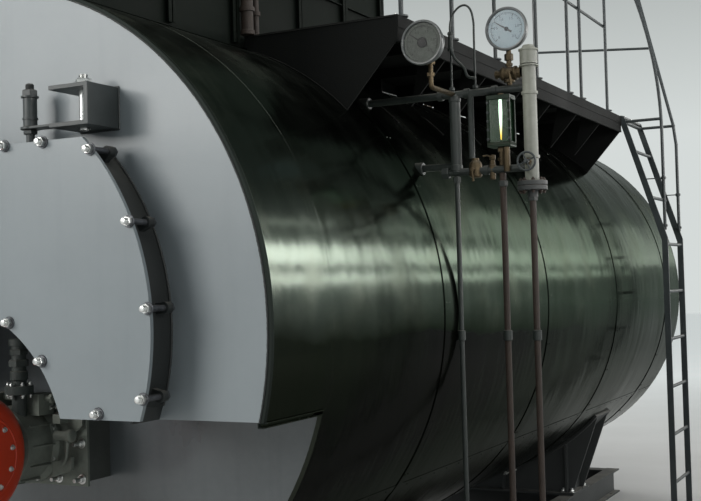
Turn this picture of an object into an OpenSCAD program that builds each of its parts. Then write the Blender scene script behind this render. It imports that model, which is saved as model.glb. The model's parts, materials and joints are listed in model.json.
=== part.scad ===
// Horizontal fire-tube boiler with a split smoke-box door, a gas burner, a side walkway and a ladder.
// Sizes are in millimetres. +X is the boiler's right side, +Y its rear, +Z up.
// The origin is on the floor, under the middle of the boiler's length.

/* [Shell] */
// Outer radius of the clad shell
shell_r = 1100; // [900:10:1300]
// Length of the body, from the smoke-box front to the rear end
body_len = 5440; // [5300:20:6400]
// Height of the shell's underside above the floor
belly_height = 300; // [250:10:500]
// Thickness of the lagging and its steel skin
lagging_t = 100; // [60:5:140]
// Thickness of the end plates
end_plate_t = 12; // [8:1:20]
// Width of one cladding band
band_w = 50; // [30:5:54]
// Thickness of a cladding band
band_t = 3; // [2:1:6]
// Number of cladding bands
band_count = 4; // [2:1:6]
// Distance of the first cladding band from the smoke-box front
band_first = 1240; // [1230:5:1300]
// Distance of the last cladding band from the rear end
band_last = 440; // [300:10:500]

/* [Smoke box] */
// Depth of the smoke box that overhangs the burner
smoke_box_depth = 365; // [300:5:450]
// How far the smoke box's underside lies below the centre line
chord_drop = 273; // [220:1:320]
// Thickness of the smoke box's wall
smoke_wall_t = 12; // [6:1:20]
// Width of the trim ring round the lower front plate
rim_w = 15; // [8:1:30]

/* [Doors] */
// Outer radius of the round door plates
door_r = 790; // [720:5:840]
// Height of the doors' flat top above the centre line
door_top = 560; // [480:5:640]
// How far the doors' flat bottom lies below the centre line
door_drop = 262; // [200:1:300]
// Distance from the front plate to the doors' front face
door_standoff = 143; // [100:1:200]
// Thickness of a door plate
door_t = 14; // [8:1:20]
// How far the doors stand past the neck that they close
door_lap = 33; // [26:1:45]
// Thickness of the neck's wall
neck_wall = 10; // [6:1:16]
// Gap between the two doors
door_gap = 6; // [4:1:12]
// Width of the post behind the gap
post_w = 60; // [40:5:100]
// Radius of a clamp bolt
clamp_r = 10; // [8:1:13]
// How far the clamp bolts lie inside the doors' edge
clamp_inset = 4; // [2:1:10]

/* [Davits] */
// Distance of the bracket's web from the middle of the boiler
davit_x = 581; // [540:1:640]
// Width of a bracket lug
lug_w = 148; // [120:1:180]
// Depth of a bracket lug
lug_depth = 143; // [110:1:170]
// Thickness of a bracket lug
lug_t = 13; // [8:1:20]
// Height of the lower lug above the centre line
lug_low = 596; // [590:1:640]
// Clear height between the lugs
lug_gap = 99; // [80:1:140]
// Radius of the davit pin
davit_pin_r = 14; // [10:1:18]
// Distance of the lifting rod from the middle of the boiler
rod_x = 295; // [250:1:360]
// Radius of the lifting rod's sleeve
rod_r = 22; // [15:1:28]
// Height of the lifting rod
rod_h = 186; // [150:1:240]

/* [Burner] */
// How far the burner's centre line lies below the shell's
burner_drop = 392; // [360:1:430]
// Radius of the round cut-out in the doors over the burner
arch_r = 472; // [430:1:500]
// Half width of the burner's mounting plate
burner_half_w = 242; // [200:1:280]
// Half height of the burner's mounting plate
burner_half_h = 142; // [132:1:180]
// Depth of the mounting box behind that plate
burner_box_depth = 121; // [80:1:160]
// Radius of the blast tube
blast_r = 118; // [90:1:125]
// How far the blast tube reaches into the furnace
blast_reach = 260; // [120:10:400]
// Radius of the fan casing
fan_r = 205; // [160:1:230]
// Width of the fan casing
fan_w = 330; // [240:5:380]

/* [Walkway] */
// How far the walkway's outer edge lies inside the shell's side
deck_inset = 88; // [60:1:120]
// Distance of the walkway's inner edge from the middle of the boiler
deck_inner = 345; // [340:1:420]
// Distance of the walkway's front end from the smoke-box front
deck_start = 1080; // [800:10:1300]
// Distance of the walkway's rear end from the smoke-box front
deck_end = 4323; // [4200:1:4600]
// Depth of the walkway's outer edge beam
deck_edge_h = 100; // [70:5:140]
// Thickness of the deck plate
deck_t = 6; // [4:1:12]
// Thickness of the edge beams and gussets
deck_web_t = 10; // [6:1:16]
// Number of gussets under the walkway
gusset_count = 8; // [5:1:9]
// Width of a gusset's inner leg
gusset_leg = 150; // [80:5:180]
// Height of the handrail above the deck
rail_h = 1050; // [900:10:1200]
// Radius of the railing's posts
rail_post_r = 9; // [7:1:16]
// Radius of the railing's rails
rail_r = 8; // [6:1:14]

/* [Ladder] */
// Distance of the ladder's upright part from the shell's side
ladder_gap = 154; // [130:1:200]
// Clear width between the stringers
ladder_w = 428; // [380:1:480]
// Width of a stringer bar
stringer_w = 36; // [28:1:50]
// Thickness of a stringer bar
stringer_t = 12; // [8:1:16]
// Height above the centre line at which the stringers start to lean in
ladder_knee = 330; // [200:10:460]
// Distance between rungs
rung_pitch = 290; // [250:5:300]
// Radius of a rung
rung_r = 10; // [8:1:14]
// Radius of the ladder's handrails
grab_r = 10; // [8:1:14]

/* [Gauges] */
// Distance of the gauge group from the smoke-box front
gauge_y = 1375; // [1360:5:1500]
// Distance of the water column from the shell's side
column_reach = 312; // [290:1:340]
// Radius of the water column
column_r = 26; // [22:1:32]
// Height of the upper connection below the shell's top
upper_drop = 271; // [250:1:300]
// Height of the lower connection below the shell's top
lower_drop = 572; // [550:1:600]
// Radius of the connection pipes
connect_r = 14; // [10:1:18]
// Distance of the frame's first upright from the shell's side
frame_reach = 10; // [0:1:30]
// Radius of the frame's first upright
frame_r = 21; // [16:1:24]
// Distance between the frame's two uprights
frame_pitch = 65; // [55:1:75]
// Distance of the water gauge from the shell's side
glass_reach = 197; // [190:1:205]
// Height of the water gauge's glass
glass_h = 196; // [160:1:220]
// Width of the water gauge's body
glass_w = 92; // [70:1:100]
// Radius of a pressure gauge
dial_r = 83; // [70:1:86]
// Depth of a pressure gauge
dial_t = 52; // [35:1:60]
// Radius of a drain pipe
drain_r = 12; // [8:1:16]
// Distance of the front pressure gauge from the shell's side
front_dial_reach = 8; // [0:1:40]
// How far the front pressure gauge stands before the gauge group
front_dial_lead = 275; // [230:5:295]
// Height of the front pressure gauge below the shell's top
front_dial_drop = 118; // [90:1:140]
// Distance of the rear pressure gauge from the shell's side
rear_dial_reach = 235; // [230:1:240]
// Height of the rear pressure gauge below the shell's top
rear_dial_drop = 46; // [20:1:60]

/* [Economizer] */
// Half width of the economizer box
eco_half_w = 325; // [260:1:330]
// Length of the economizer box
eco_len = 2290; // [1800:10:2400]
// Distance of the economizer box from the smoke-box front
eco_front = 60; // [40:5:120]
// Height of the economizer box above the top of the shell
eco_h = 620; // [400:10:800]
// Radius of the chimney collar
flue_r = 225; // [160:5:260]
// Height of the chimney collar
flue_h = 160; // [100:10:240]

/* [Top fittings] */
// Distance from the economizer box to the manhole's neck
manhole_gap = 200; // [140:10:300]
// Radius of the manhole neck
manhole_r = 210; // [180:5:240]
// Distance from the manhole to the main steam outlet
steam_pitch = 660; // [500:10:760]
// Radius of the main steam pipe
steam_r = 57; // [45:1:70]
// Radius of the main steam flange
steam_flange_r = 110; // [95:1:130]
// Bolt circle radius of the main steam flange
steam_pcr = 90; // [80:1:98]
// Distance from the main steam outlet to the first safety valve
safety_gap = 540; // [400:10:640]
// Distance between the safety valves
safety_pitch = 440; // [400:10:520]
// Distance from the rear end to the feed-water inlet
feed_inset = 1500; // [1400:10:1700]
// How far the feed-water inlet stands off the shell
feed_reach = 160; // [120:5:220]
// Radius of the feed-water pipe
feed_r = 30; // [20:1:38]
// Radius of the feed-water flange
feed_flange_r = 82; // [78:1:100]
// Bolt circle radius of the feed-water flange
feed_pcr = 62; // [55:1:68]

/* [Base] */
// Height of the skid beams
skid_h = 160; // [120:5:180]
// Width of a skid beam's flange
skid_flange = 88; // [70:1:110]
// Distance of a skid rail from the middle of the boiler
skid_x = 620; // [560:5:700]
// Distance from the smoke-box front to the front end of the skid
skid_inset = 380; // [300:5:500]
// Radius of a foundation bolt hole
anchor_r = 11; // [8:1:14]
// Width of a saddle along the boiler
saddle_w = 320; // [240:5:380]
// Thickness of a saddle's plates
saddle_t = 14; // [10:1:20]
// Distance from each end of the body to the middle of a saddle
saddle_inset = 1060; // [900:10:1300]

/* [Hidden] */
$fn = 64;
EPS = 0.3;

// Steps shared by several pieces
axis_height = shell_r + belly_height;
deck_outer = shell_r - deck_inset;
deck_len = deck_end - deck_start;
ladder_x = shell_r + ladder_gap;
column_x = shell_r + column_reach;
upper_z = shell_r - upper_drop;
lower_z = shell_r - lower_drop;
frame_x = shell_r + frame_reach;
glass_x = shell_r + glass_reach;
front_dial_x = shell_r + front_dial_reach;
front_dial_y = gauge_y - front_dial_lead;
front_dial_z = shell_r - front_dial_drop;
rear_dial_x = shell_r + rear_dial_reach;
rear_dial_z = shell_r - rear_dial_drop;
manhole_y = eco_front + eco_len + manhole_gap + manhole_r;
steam_y = manhole_y + steam_pitch;
safety_y = steam_y + safety_gap;
neck_out = door_lap;
neck_in = door_lap + neck_wall;
shell_inner = shell_r - lagging_t;
top_z = shell_r;
floor_z = -axis_height;
deck_top = shell_r;
deck_under = deck_top - deck_t;
deck_edge_low = deck_top - deck_edge_h;
deck_inner_low = deck_top - 50;
post_shares = [0.0185, 0.1727, 0.3284, 0.5103, 0.6744, 0.7490, 0.9167];
post_ys = [for (share = post_shares) deck_start + share * deck_len];
stringer_y0 = deck_end;
stringer_y1 = stringer_y0 + stringer_t + ladder_w;
rung_low = floor_z + 250;
rung_count = floor((deck_top - 140 - rung_low) / rung_pitch) + 1;
arch_out = arch_r + neck_out;
arch_in = arch_r + neck_in;
clamp_seat = -door_standoff;
davit_pin_x = davit_x - 74;
davit_y = -lug_depth / 2;
lug_high = lug_low + lug_t + lug_gap;
rail_x = deck_outer - 2 * rail_post_r - 2 - rail_r - EPS;
box_back = smoke_box_depth - end_plate_t;
box_front = box_back - burner_box_depth;
plate_front = box_front - end_plate_t;
column_low = lower_z - 52;
column_top = upper_z + 149;
drain_low = floor_z + 120;

// Places a piece that is drawn from the centre of the smoke-box front
module on_axis() {
    translate([0, -body_len / 2, axis_height]) children();
}

// Extrudes an outline drawn in x and z from y0 to y1
module slab_y(y0, y1) {
    translate([0, y1, 0]) rotate([90, 0, 0]) linear_extrude(y1 - y0) children();
}

// Extrudes an outline drawn in y and z from x0 to x1
module slab_x(x0, x1) {
    translate([x0, 0, 0]) rotate([90, 0, 90]) linear_extrude(x1 - x0) children();
}

module rod_x(x0, x1, r) {
    translate([x0, 0, 0]) rotate([0, 90, 0]) cylinder(h = x1 - x0, r = r);
}

module rod_y(y0, y1, r) {
    translate([0, y1, 0]) rotate([90, 0, 0]) cylinder(h = y1 - y0, r = r);
}

module rod_z(z0, z1, r) {
    translate([0, 0, z0]) cylinder(h = z1 - z0, r = r);
}

// Room that the shell takes from what is seated on it
module shell_cut(y0, y1) {
    slab_y(y0, y1) circle(r = shell_r + EPS, $fn = 256);
}

// Ring of constant section round the shell's centre line
module ring_y(y0, y1, r_out, r_in) {
    slab_y(y0, y1) difference() {
        circle(r = r_out, $fn = 128);
        circle(r = r_in, $fn = 128);
    }
}

// Half plane above or below a height, as wide as the shell
module above(z) {
    translate([-2 * shell_r, z]) square([4 * shell_r, 3 * shell_r]);
}

module below(z) {
    translate([-2 * shell_r, z - 3 * shell_r]) square([4 * shell_r, 3 * shell_r]);
}

// Outline shared by the doors and their neck: a round plate with flats above and below and a burner arch
module door_outline(inset) {
    difference() {
        intersection() {
            circle(r = door_r - inset, $fn = 128);
            above(-door_drop + inset);
            below(door_top - inset);
        }
        translate([0, -burner_drop]) circle(r = arch_r + inset, $fn = 96);
    }
}

// Base

module i_beam(half_w, h) {
    flange_t = 10;
    web_t = 8;
    translate([-half_w, 0]) square([2 * half_w, flange_t]);
    translate([-half_w, h - flange_t]) square([2 * half_w, flange_t]);
    translate([-web_t / 2, 0]) square([web_t, h]);
}

module skid() {
    rail_front = skid_inset;
    rail_rear = body_len - 120;
    cross_ys = [rail_front + 60, saddle_inset, body_len / 2, body_len - saddle_inset, rail_rear - 60];
    color("dimgray") on_axis() translate([0, 0, floor_z]) {
        difference() {
            union() {
                for (side = [-1, 1])
                    translate([side * skid_x, 0, 0]) slab_y(rail_front, rail_rear) i_beam(skid_flange / 2, skid_h);
                for (y = cross_ys)
                    translate([0, y, 0]) slab_x(-skid_x, skid_x) i_beam(skid_flange / 2, skid_h);
            }
            for (side = [-1, 1], y = [rail_front + 160, rail_rear - 160])
                translate([side * (skid_x + skid_flange / 4), y, -1]) cylinder(h = 30, r = anchor_r);
        }
    }
}

module saddle(mid_y) {
    half_base = skid_x + skid_flange / 2;
    base_z = floor_z + skid_h;
    wear_t = saddle_t;
    wear_r = shell_r + EPS;
    half_angle = 48;
    web_half = saddle_w / 2 - 40;
    color("dimgray") on_axis() translate([0, mid_y, 0]) {
        // Base plate
        translate([-half_base, -saddle_w / 2, base_z]) cube([2 * half_base, saddle_w, saddle_t]);
        // Wear plate under the shell
        slab_y(-saddle_w / 2, saddle_w / 2) intersection() {
            difference() {
                circle(r = wear_r + wear_t, $fn = 128);
                circle(r = wear_r, $fn = 128);
            }
            polygon([[0, 0], [-2000 * sin(half_angle), -2000 * cos(half_angle)], [0, -4000],
                [2000 * sin(half_angle), -2000 * cos(half_angle)]]);
        }
        // Two webs
        for (y = [-web_half, web_half - saddle_t])
            slab_y(y, y + saddle_t) difference() {
                polygon([[-half_base + 20, base_z + 1], [half_base - 20, base_z + 1],
                    [(shell_r + 8) * sin(half_angle), -(shell_r + 8) * cos(half_angle)],
                    [-(shell_r + 8) * sin(half_angle), -(shell_r + 8) * cos(half_angle)]]);
                circle(r = wear_r + wear_t / 2, $fn = 128);
            }
        // Stiffening ribs
        for (x = [-half_base + 40, -skid_x / 3, skid_x / 3 - saddle_t, half_base - 40 - saddle_t])
            slab_x(x, x + saddle_t) {
                rib_top = -sqrt(pow(wear_r + wear_t / 2, 2) - pow(abs(x + saddle_t / 2) - saddle_t, 2));
                translate([-saddle_w / 2 + 10, base_z + 1]) square([saddle_w - 20, rib_top - base_z - 1]);
            }
    }
}

module front_saddle() saddle(saddle_inset);
module rear_saddle() saddle(body_len - saddle_inset);

// Shell

module cladding() {
    color("lightsteelblue") on_axis() ring_y(smoke_box_depth, body_len - end_plate_t, shell_r, shell_inner);
}

module cladding_bands() {
    pitch = (body_len - band_last - band_first) / (band_count - 1);
    color("silver") on_axis()
        for (i = [0 : band_count - 1])
            translate([0, band_first + i * pitch, 0]) ring_y(0, band_w, shell_r + EPS + band_t, shell_r + EPS);
}

module smoke_box_shell() {
    color("lightsteelblue") on_axis() slab_y(0, smoke_box_depth) intersection() {
        difference() {
            circle(r = shell_r, $fn = 128);
            circle(r = shell_r - smoke_wall_t, $fn = 128);
        }
        above(-chord_drop);
    }
}

// Flat underside of the smoke box with the arch that leaves room for the burner
module smoke_box_floor() {
    color("gray") on_axis() slab_y(end_plate_t, smoke_box_depth) {
        difference() {
            intersection() {
                circle(r = shell_r - smoke_wall_t - EPS, $fn = 128);
                above(-chord_drop);
                below(-chord_drop + smoke_wall_t);
            }
            translate([0, -burner_drop]) circle(r = arch_out, $fn = 96);
        }
        intersection() {
            translate([0, -burner_drop]) difference() {
                circle(r = arch_in, $fn = 96);
                circle(r = arch_out, $fn = 96);
            }
            above(-chord_drop);
        }
    }
}

module front_plate() {
    color("gainsboro") on_axis() slab_y(0, end_plate_t) difference() {
        intersection() {
            circle(r = shell_r - smoke_wall_t - EPS, $fn = 128);
            above(-chord_drop);
        }
        door_outline(neck_out - EPS);
        translate([0, -burner_drop]) circle(r = arch_out, $fn = 96);
    }
}

// Neck between the front plate and the doors, with the post on which both doors close
module door_neck() {
    neck_front = door_t - door_standoff;
    color("darkslategray") on_axis() {
        slab_y(neck_front, end_plate_t) difference() {
            door_outline(neck_out);
            door_outline(neck_in);
        }
        slab_y(neck_front + 1, neck_front + 50) intersection() {
            door_outline(neck_out + neck_wall / 2);
            translate([-post_w / 2, -shell_r]) square([post_w, 2 * shell_r]);
        }
        // Lugs that hold the clamp bolts
        for (side = [0, 1]) mirror([side, 0, 0])
            for (c = clamp_spots)
                slab_y(clamp_back, clamp_back + lug_len) translate([c[0], c[1]]) {
                    circle(r = clamp_r + 7);
                    rotate(c[2]) translate([0, -clamp_r - 6]) square([c[3], 2 * clamp_r + 12]);
                }
    }
}

// Clamp bolts round the right door: place in x and z, direction of the neck and reach into its wall
lug_len = 24;
clamp_back = -72;
clamp_edge_r = door_r - clamp_inset;
clamp_flat = clamp_inset + 14;
clamp_arch_r = arch_r + clamp_flat;
edge_reach = neck_out - clamp_inset + neck_wall / 2;
flat_reach = neck_out - clamp_flat + neck_wall / 2;
clamp_spots = concat(
    [for (a = [48.5 : 18.7 : 105]) [clamp_edge_r * sin(a), clamp_edge_r * cos(a), 270 - a, edge_reach]],
    [for (x = [107, 258, 409]) [x, door_top - clamp_inset, 270, edge_reach]],
    [[598, -door_drop + clamp_flat, 90, flat_reach]],
    [for (a = [12.5 : 20 : 53])
        [clamp_arch_r * sin(a), clamp_arch_r * cos(a) - burner_drop, 90 - a, flat_reach]]);

module clamp_slots() {
    for (c = clamp_spots)
        translate([c[0], c[1]]) circle(r = clamp_r + 1.5);
}

module right_door() {
    color("gainsboro") on_axis() slab_y(-door_standoff, door_t - door_standoff) difference() {
        door_outline(0);
        translate([door_gap / 2 - 2 * shell_r, -shell_r]) square([2 * shell_r, 2 * shell_r]);
        clamp_slots();
    }
}

module left_door() {
    mirror([1, 0, 0]) right_door();
}

// Clamp bolts with their nuts and washers
module door_clamps() {
    nut_h = 16;
    color("silver") on_axis()
        for (side = [0, 1]) mirror([side, 0, 0])
            for (c = clamp_spots)
                translate([c[0], 0, c[1]]) {
                    rod_y(-door_standoff - nut_h - 12, clamp_back, clamp_r);
                    rod_y(-door_standoff - 4 - EPS, -door_standoff - EPS, clamp_r * 1.9);
                    translate([0, -door_standoff - 4, 0]) rotate([90, 0, 0])
                        cylinder(h = nut_h, r = clamp_r * 1.7, $fn = 6);
                }
}

// Davits

module davit_bracket() {
    color("slategray") on_axis() {
        // Web plate
        translate([davit_x - 15, -lug_depth, lug_low]) cube([15, lug_depth, lug_high + lug_t - lug_low]);
        // Lugs, bored for the pin
        for (z = [lug_low, lug_high])
            difference() {
                translate([davit_x - lug_w, -lug_depth, z]) cube([lug_w, lug_depth, lug_t]);
                translate([davit_pin_x, davit_y, z - 1]) cylinder(h = lug_t + 2, r = davit_pin_r + EPS);
            }
    }
}

module davit_brackets() {
    davit_bracket();
    mirror([1, 0, 0]) davit_bracket();
}

module davit_pins() {
    color("darkgray") on_axis()
        for (side = [-1, 1])
            translate([side * davit_pin_x, davit_y, 0]) {
                rod_z(lug_low - 8, lug_high + lug_t, davit_pin_r);
                translate([0, 0, lug_high + lug_t]) cylinder(h = 5, r = davit_pin_r * 2);
                translate([0, 0, lug_high + lug_t + 5]) cylinder(h = 19, r = davit_pin_r * 1.75, $fn = 6);
                rod_z(lug_high + lug_t + 24, lug_high + lug_t + 38, davit_pin_r);
            }
}

arm_t = 8;
arm_z = lug_low + lug_t + EPS;

module davit_arms() {
    arm_half = 24;
    color("slategray") on_axis()
        for (side = [0, 1]) mirror([side, 0, 0])
            translate([0, davit_y, arm_z]) difference() {
                union() {
                    translate([rod_x, -arm_half, 0]) cube([davit_pin_x - rod_x, 2 * arm_half, arm_t]);
                    translate([rod_x, 0, 0]) cylinder(h = arm_t, r = rod_r + 8);
                    translate([davit_pin_x, 0, 0]) cylinder(h = arm_t, r = davit_pin_r + 14);
                }
                translate([davit_pin_x, 0, -1]) cylinder(h = arm_t + 2, r = davit_pin_r + EPS);
                translate([rod_x, 0, -1]) cylinder(h = arm_t + 2, r = rod_r * 0.62 + EPS);
            }
}

// Lifting rods: a stud in the door's neck with a sleeve and nut above the arm
module lifting_rods() {
    foot_z = door_top - neck_out;
    color("gray") on_axis()
        for (side = [-1, 1])
            translate([side * rod_x, davit_y, 0]) {
                rod_z(foot_z, arm_z + arm_t + EPS, rod_r * 0.62);
                rod_z(arm_z + arm_t + EPS, foot_z + rod_h, rod_r);
                translate([0, 0, foot_z + rod_h]) cylinder(h = 20, r = rod_r * 1.2, $fn = 6);
                rod_z(foot_z + rod_h + 20, foot_z + rod_h + 40, rod_r * 0.62);
            }
}

// Lower front and burner

module lower_front_plate() {
    color("gainsboro") on_axis() slab_y(box_back, smoke_box_depth) difference() {
        union() {
            intersection() {
                circle(r = shell_r - rim_w, $fn = 128);
                below(-chord_drop - EPS);
            }
            translate([0, -burner_drop]) circle(r = arch_out - EPS, $fn = 96);
        }
        translate([0, -burner_drop]) circle(r = blast_r + EPS);
    }
}

module front_rim() {
    color("silver") on_axis() slab_y(box_back - 8, smoke_box_depth) intersection() {
        difference() {
            circle(r = shell_r, $fn = 128);
            circle(r = shell_r - rim_w + EPS, $fn = 128);
        }
        below(-chord_drop - EPS);
    }
}

module burner_frame_outline(inset) {
    translate([-burner_half_w + inset, -burner_half_h + inset])
        square([2 * (burner_half_w - inset), 2 * (burner_half_h - inset)]);
}

module burner_box() {
    color("darkseagreen") on_axis() translate([0, 0, -burner_drop]) slab_y(box_front, box_back) difference() {
        burner_frame_outline(14);
        circle(r = blast_r + EPS);
    }
}

module burner_plate() {
    color("gainsboro") on_axis() translate([0, 0, -burner_drop]) slab_y(plate_front, box_front) difference() {
        burner_frame_outline(0);
        circle(r = blast_r + EPS);
    }
}

// Cast body and blast tube
module burner_body() {
    color("lightgray") on_axis() translate([0, 0, -burner_drop]) {
        rod_y(plate_front - 20, smoke_box_depth + blast_reach, blast_r);
        translate([0, plate_front, 0]) rotate([90, 0, 0]) rotate_extrude()
            polygon([[0, 0], [blast_r + 22, 0], [blast_r + 22, 18], [blast_r + 10, 36],
                [blast_r + 10, 148], [blast_r - 18, 160], [blast_r - 18, 190], [0, 190]]);
        // Hinge lugs cast on the top
        for (x = [-120, 60])
            translate([x, plate_front - 90, blast_r - 20]) cube([60, 70, 70]);
    }
}

// Rounded fan casing, its axis across the boiler
module burner_fan_casing() {
    fan_y = plate_front - 160 - fan_r;
    edge = 70;
    color("orangered") on_axis() translate([0, fan_y, -burner_drop]) {
        difference() {
            rotate([0, 90, 0]) translate([0, 0, -fan_w / 2]) rotate_extrude($fn = 96) {
                square([fan_r - edge, fan_w]);
                translate([0, edge]) square([fan_r, fan_w - 2 * edge]);
                translate([fan_r - edge, edge]) circle(r = edge);
                translate([fan_r - edge, fan_w - edge]) circle(r = edge);
            }
            translate([0, fan_r, 0]) rod_y(-30, 60, blast_r + 12);
        }
    }
}

module burner_motor() {
    fan_y = plate_front - 160 - fan_r;
    color("dimgray") on_axis() translate([0, fan_y, -burner_drop]) {
        rod_x(-fan_w / 2 - 250, -fan_w / 2, 95);
        rod_x(-fan_w / 2 - 290, -fan_w / 2 - 250, 80);
        translate([-fan_w / 2 - 190, -50, 80]) cube([110, 100, 70]);
    }
}

// Gas pipe that rises from the burner's body
module burner_gas_pipe() {
    pipe_x = 60;
    color("gray") on_axis() translate([0, plate_front, -burner_drop]) difference() {
        translate([pipe_x, -115, 0]) {
            rod_z(blast_r - 30, 330, 24);
            rod_z(170, 198, 46);
            rod_z(330, 352, 32);
        }
        rod_y(-200, 0, blast_r + 10 + EPS);
    }
}

// Rear end

module rear_end_plate() {
    color("gainsboro") on_axis() slab_y(body_len - end_plate_t, body_len) circle(r = shell_r - 2, $fn = 128);
}

module rear_door() {
    rear_r = 640;
    color("gainsboro") on_axis() translate([0, body_len, 60]) {
        slab_y(0, 70) difference() {
            circle(r = rear_r - 30);
            circle(r = rear_r - 44);
        }
        slab_y(70, 70 + door_t) circle(r = rear_r);
    }
}

// Economizer

module economizer() {
    color("slategray") on_axis() slab_y(eco_front, eco_front + eco_len) difference() {
        translate([-eco_half_w, 0]) square([2 * eco_half_w, top_z + eco_h]);
        circle(r = shell_r + band_t + 2 * EPS, $fn = 128);
    }
}

module chimney_collar() {
    color("dimgray") on_axis() translate([0, eco_front + eco_len / 2, top_z + eco_h]) difference() {
        union() {
            cylinder(h = flue_h, r = flue_r);
            translate([0, 0, flue_h - 10]) cylinder(h = 10, r = flue_r + 45);
        }
        translate([0, 0, 10]) cylinder(h = flue_h, r = flue_r - 6);
        for (i = [0 : 11])
            rotate([0, 0, 30 * i + 15]) translate([flue_r + 25, 0, flue_h - 20]) cylinder(h = 30, r = 7);
    }
}

// Top fittings

// Neck that starts on the shell's outer surface
module shell_neck(r, h) {
    difference() {
        translate([0, 0, top_z - r * r / shell_r]) cylinder(h = h + r * r / shell_r, r = r);
        shell_cut(-2 * r, 2 * r);
    }
}

module manhole() {
    color("slategray") on_axis() translate([0, manhole_y, 0]) {
        shell_neck(manhole_r, 90);
        translate([0, 0, top_z + 90]) cylinder(h = 24, r = manhole_r + 50);
        translate([0, 0, top_z + 114]) cylinder(h = 22, r = manhole_r + 50);
        for (x = [-80, 80])
            translate([x - 8, -12, top_z + 136]) cube([16, 24, 50]);
        translate([-88, -12, top_z + 176]) cube([176, 24, 14]);
    }
}

module steam_outlet() {
    steam_h = 230;
    color("slategray") on_axis() translate([0, steam_y, 0]) difference() {
        union() {
            shell_neck(steam_r, steam_h);
            translate([0, 0, top_z + steam_h - 22]) cylinder(h = 22, r = steam_flange_r);
        }
        translate([0, 0, top_z + 40]) cylinder(h = steam_h, r = steam_r - 6);
        for (i = [0 : 7])
            rotate([0, 0, 45 * i + 22.5]) translate([steam_pcr, 0, top_z + steam_h - 40]) cylinder(h = 60, r = 9);
    }
}

module safety_valves() {
    color("indianred") on_axis()
        for (i = [0, 1])
            translate([0, safety_y + i * safety_pitch, 0]) {
                shell_neck(34, 120);
                translate([0, 0, top_z + 110]) cylinder(h = 20, r = 75);
                translate([0, 0, top_z + 130]) cylinder(h = 70, r = 52);
                translate([0, 0, top_z + 200]) cylinder(h = 90, r = 40);
                translate([0, 0, top_z + 290]) cylinder(h = 26, r = 26);
                translate([0, 0, top_z + 165]) rod_x(-130, 0, 30);
                translate([0, 0, top_z + 165]) rod_x(-130, -114, 62);
            }
}

// Feed-water inlet on the left side
module feed_inlet() {
    feed_z = 200;
    feed_foot = sqrt(shell_r * shell_r - pow(feed_z + feed_r, 2)) - 5;
    color("slategray") on_axis() translate([0, body_len - feed_inset, feed_z]) difference() {
        union() {
            rod_x(-shell_r - feed_reach, -feed_foot, feed_r);
            rod_x(-shell_r - feed_reach, -shell_r - feed_reach + 18, feed_flange_r);
        }
        translate([0, 0, -feed_z]) shell_cut(-100, 100);
        rod_x(-shell_r - feed_reach - 1, -shell_r - 20, feed_r - 4);
        for (i = [0 : 3])
            rotate([90 * i + 45, 0, 0]) translate([0, 0, feed_pcr])
                rod_x(-shell_r - feed_reach - 1, -shell_r - feed_reach + 40, 9);
    }
}

// Walkway

module deck() {
    color("darkslategray") on_axis() {
        translate([deck_inner, deck_start, deck_under]) cube([deck_outer - deck_inner, deck_end - deck_start, deck_t]);
        // Outer edge beam
        translate([deck_outer - deck_web_t, deck_start, deck_edge_low])
            cube([deck_web_t, deck_end - deck_start, deck_edge_h - 1]);
        // Inner edge angle
        translate([deck_inner, deck_start, deck_inner_low])
            cube([deck_web_t, deck_end - deck_start, deck_top - deck_inner_low - 1]);
    }
}

// Outline of a gusset between the deck and the shell
module gusset_outline() {
    tip_angle = 46;
    inner = deck_inner + deck_web_t;
    outer = deck_outer - deck_web_t;
    polygon([[inner, deck_under], [outer, deck_under], [outer, deck_edge_low],
        [shell_r * sin(tip_angle), shell_r * cos(tip_angle)], [inner, deck_inner_low - 200]]);
}

// Opening that leaves an arm, an inner leg and an outer strut of a gusset
module gusset_opening() {
    left = deck_inner + gusset_leg;
    polygon([[left, deck_under - 46], [left, 0], [deck_outer - 330, 0], [deck_outer - 118, deck_under - 46]]);
}

// The end gussets are whole plates, and those between them are open
module deck_gussets() {
    pitch = (deck_len - deck_web_t) / (gusset_count - 1);
    color("darkslategray") on_axis()
        for (i = [0 : gusset_count - 1])
            slab_y(deck_start + i * pitch, deck_start + i * pitch + deck_web_t) difference() {
                gusset_outline();
                circle(r = shell_r + EPS, $fn = 256);
                if (i > 0 && i < gusset_count - 1)
                    gusset_opening();
            }
}

module railing_posts() {
    color("darkslategray") on_axis()
        for (y = post_ys)
            translate([deck_outer - rail_post_r - 2, y, 0]) {
                rod_z(deck_top, deck_top + rail_h, rail_post_r);
                rod_z(deck_top, deck_top + 6, 3 * rail_post_r);
            }
}

// Top rail and middle rail; the top rail runs on to the ladder's handrails
module railing_rails() {
    color("darkslategray") on_axis()
        for (k = [1, 2])
            translate([rail_x, 0, deck_top + rail_h * k / 2 - rail_r])
                rod_y(post_ys[0] - 40, k == 2 ? stringer_y1 : post_ys[len(post_ys) - 1] + 40, rail_r);
}

// Ladder

grab_y0 = stringer_y0 + stringer_t + grab_r + EPS;
grab_y1 = stringer_y1 - grab_r - EPS;

// Outline of one stringer in x and z: upright below the knee, leaning in above it
module stringer_outline() {
    lean = (ladder_x - deck_outer) / (deck_top - ladder_knee);
    polygon([[ladder_x - stringer_w / 2, floor_z], [ladder_x + stringer_w / 2, floor_z],
        [ladder_x + stringer_w / 2, ladder_knee + 8],
        [deck_outer + stringer_w / 2, deck_top], [deck_outer - stringer_w / 2, deck_top],
        [ladder_x - stringer_w / 2, ladder_knee - 8]]);
}

module ladder_stringers() {
    color("darkslategray") on_axis() {
        for (y = [stringer_y0, stringer_y1])
            slab_y(y, y + stringer_t) stringer_outline();
        // Top step
        translate([deck_outer - stringer_w / 2, stringer_y0, deck_top - stringer_t])
            cube([stringer_w, ladder_w + 2 * stringer_t, stringer_t]);
    }
}

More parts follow.
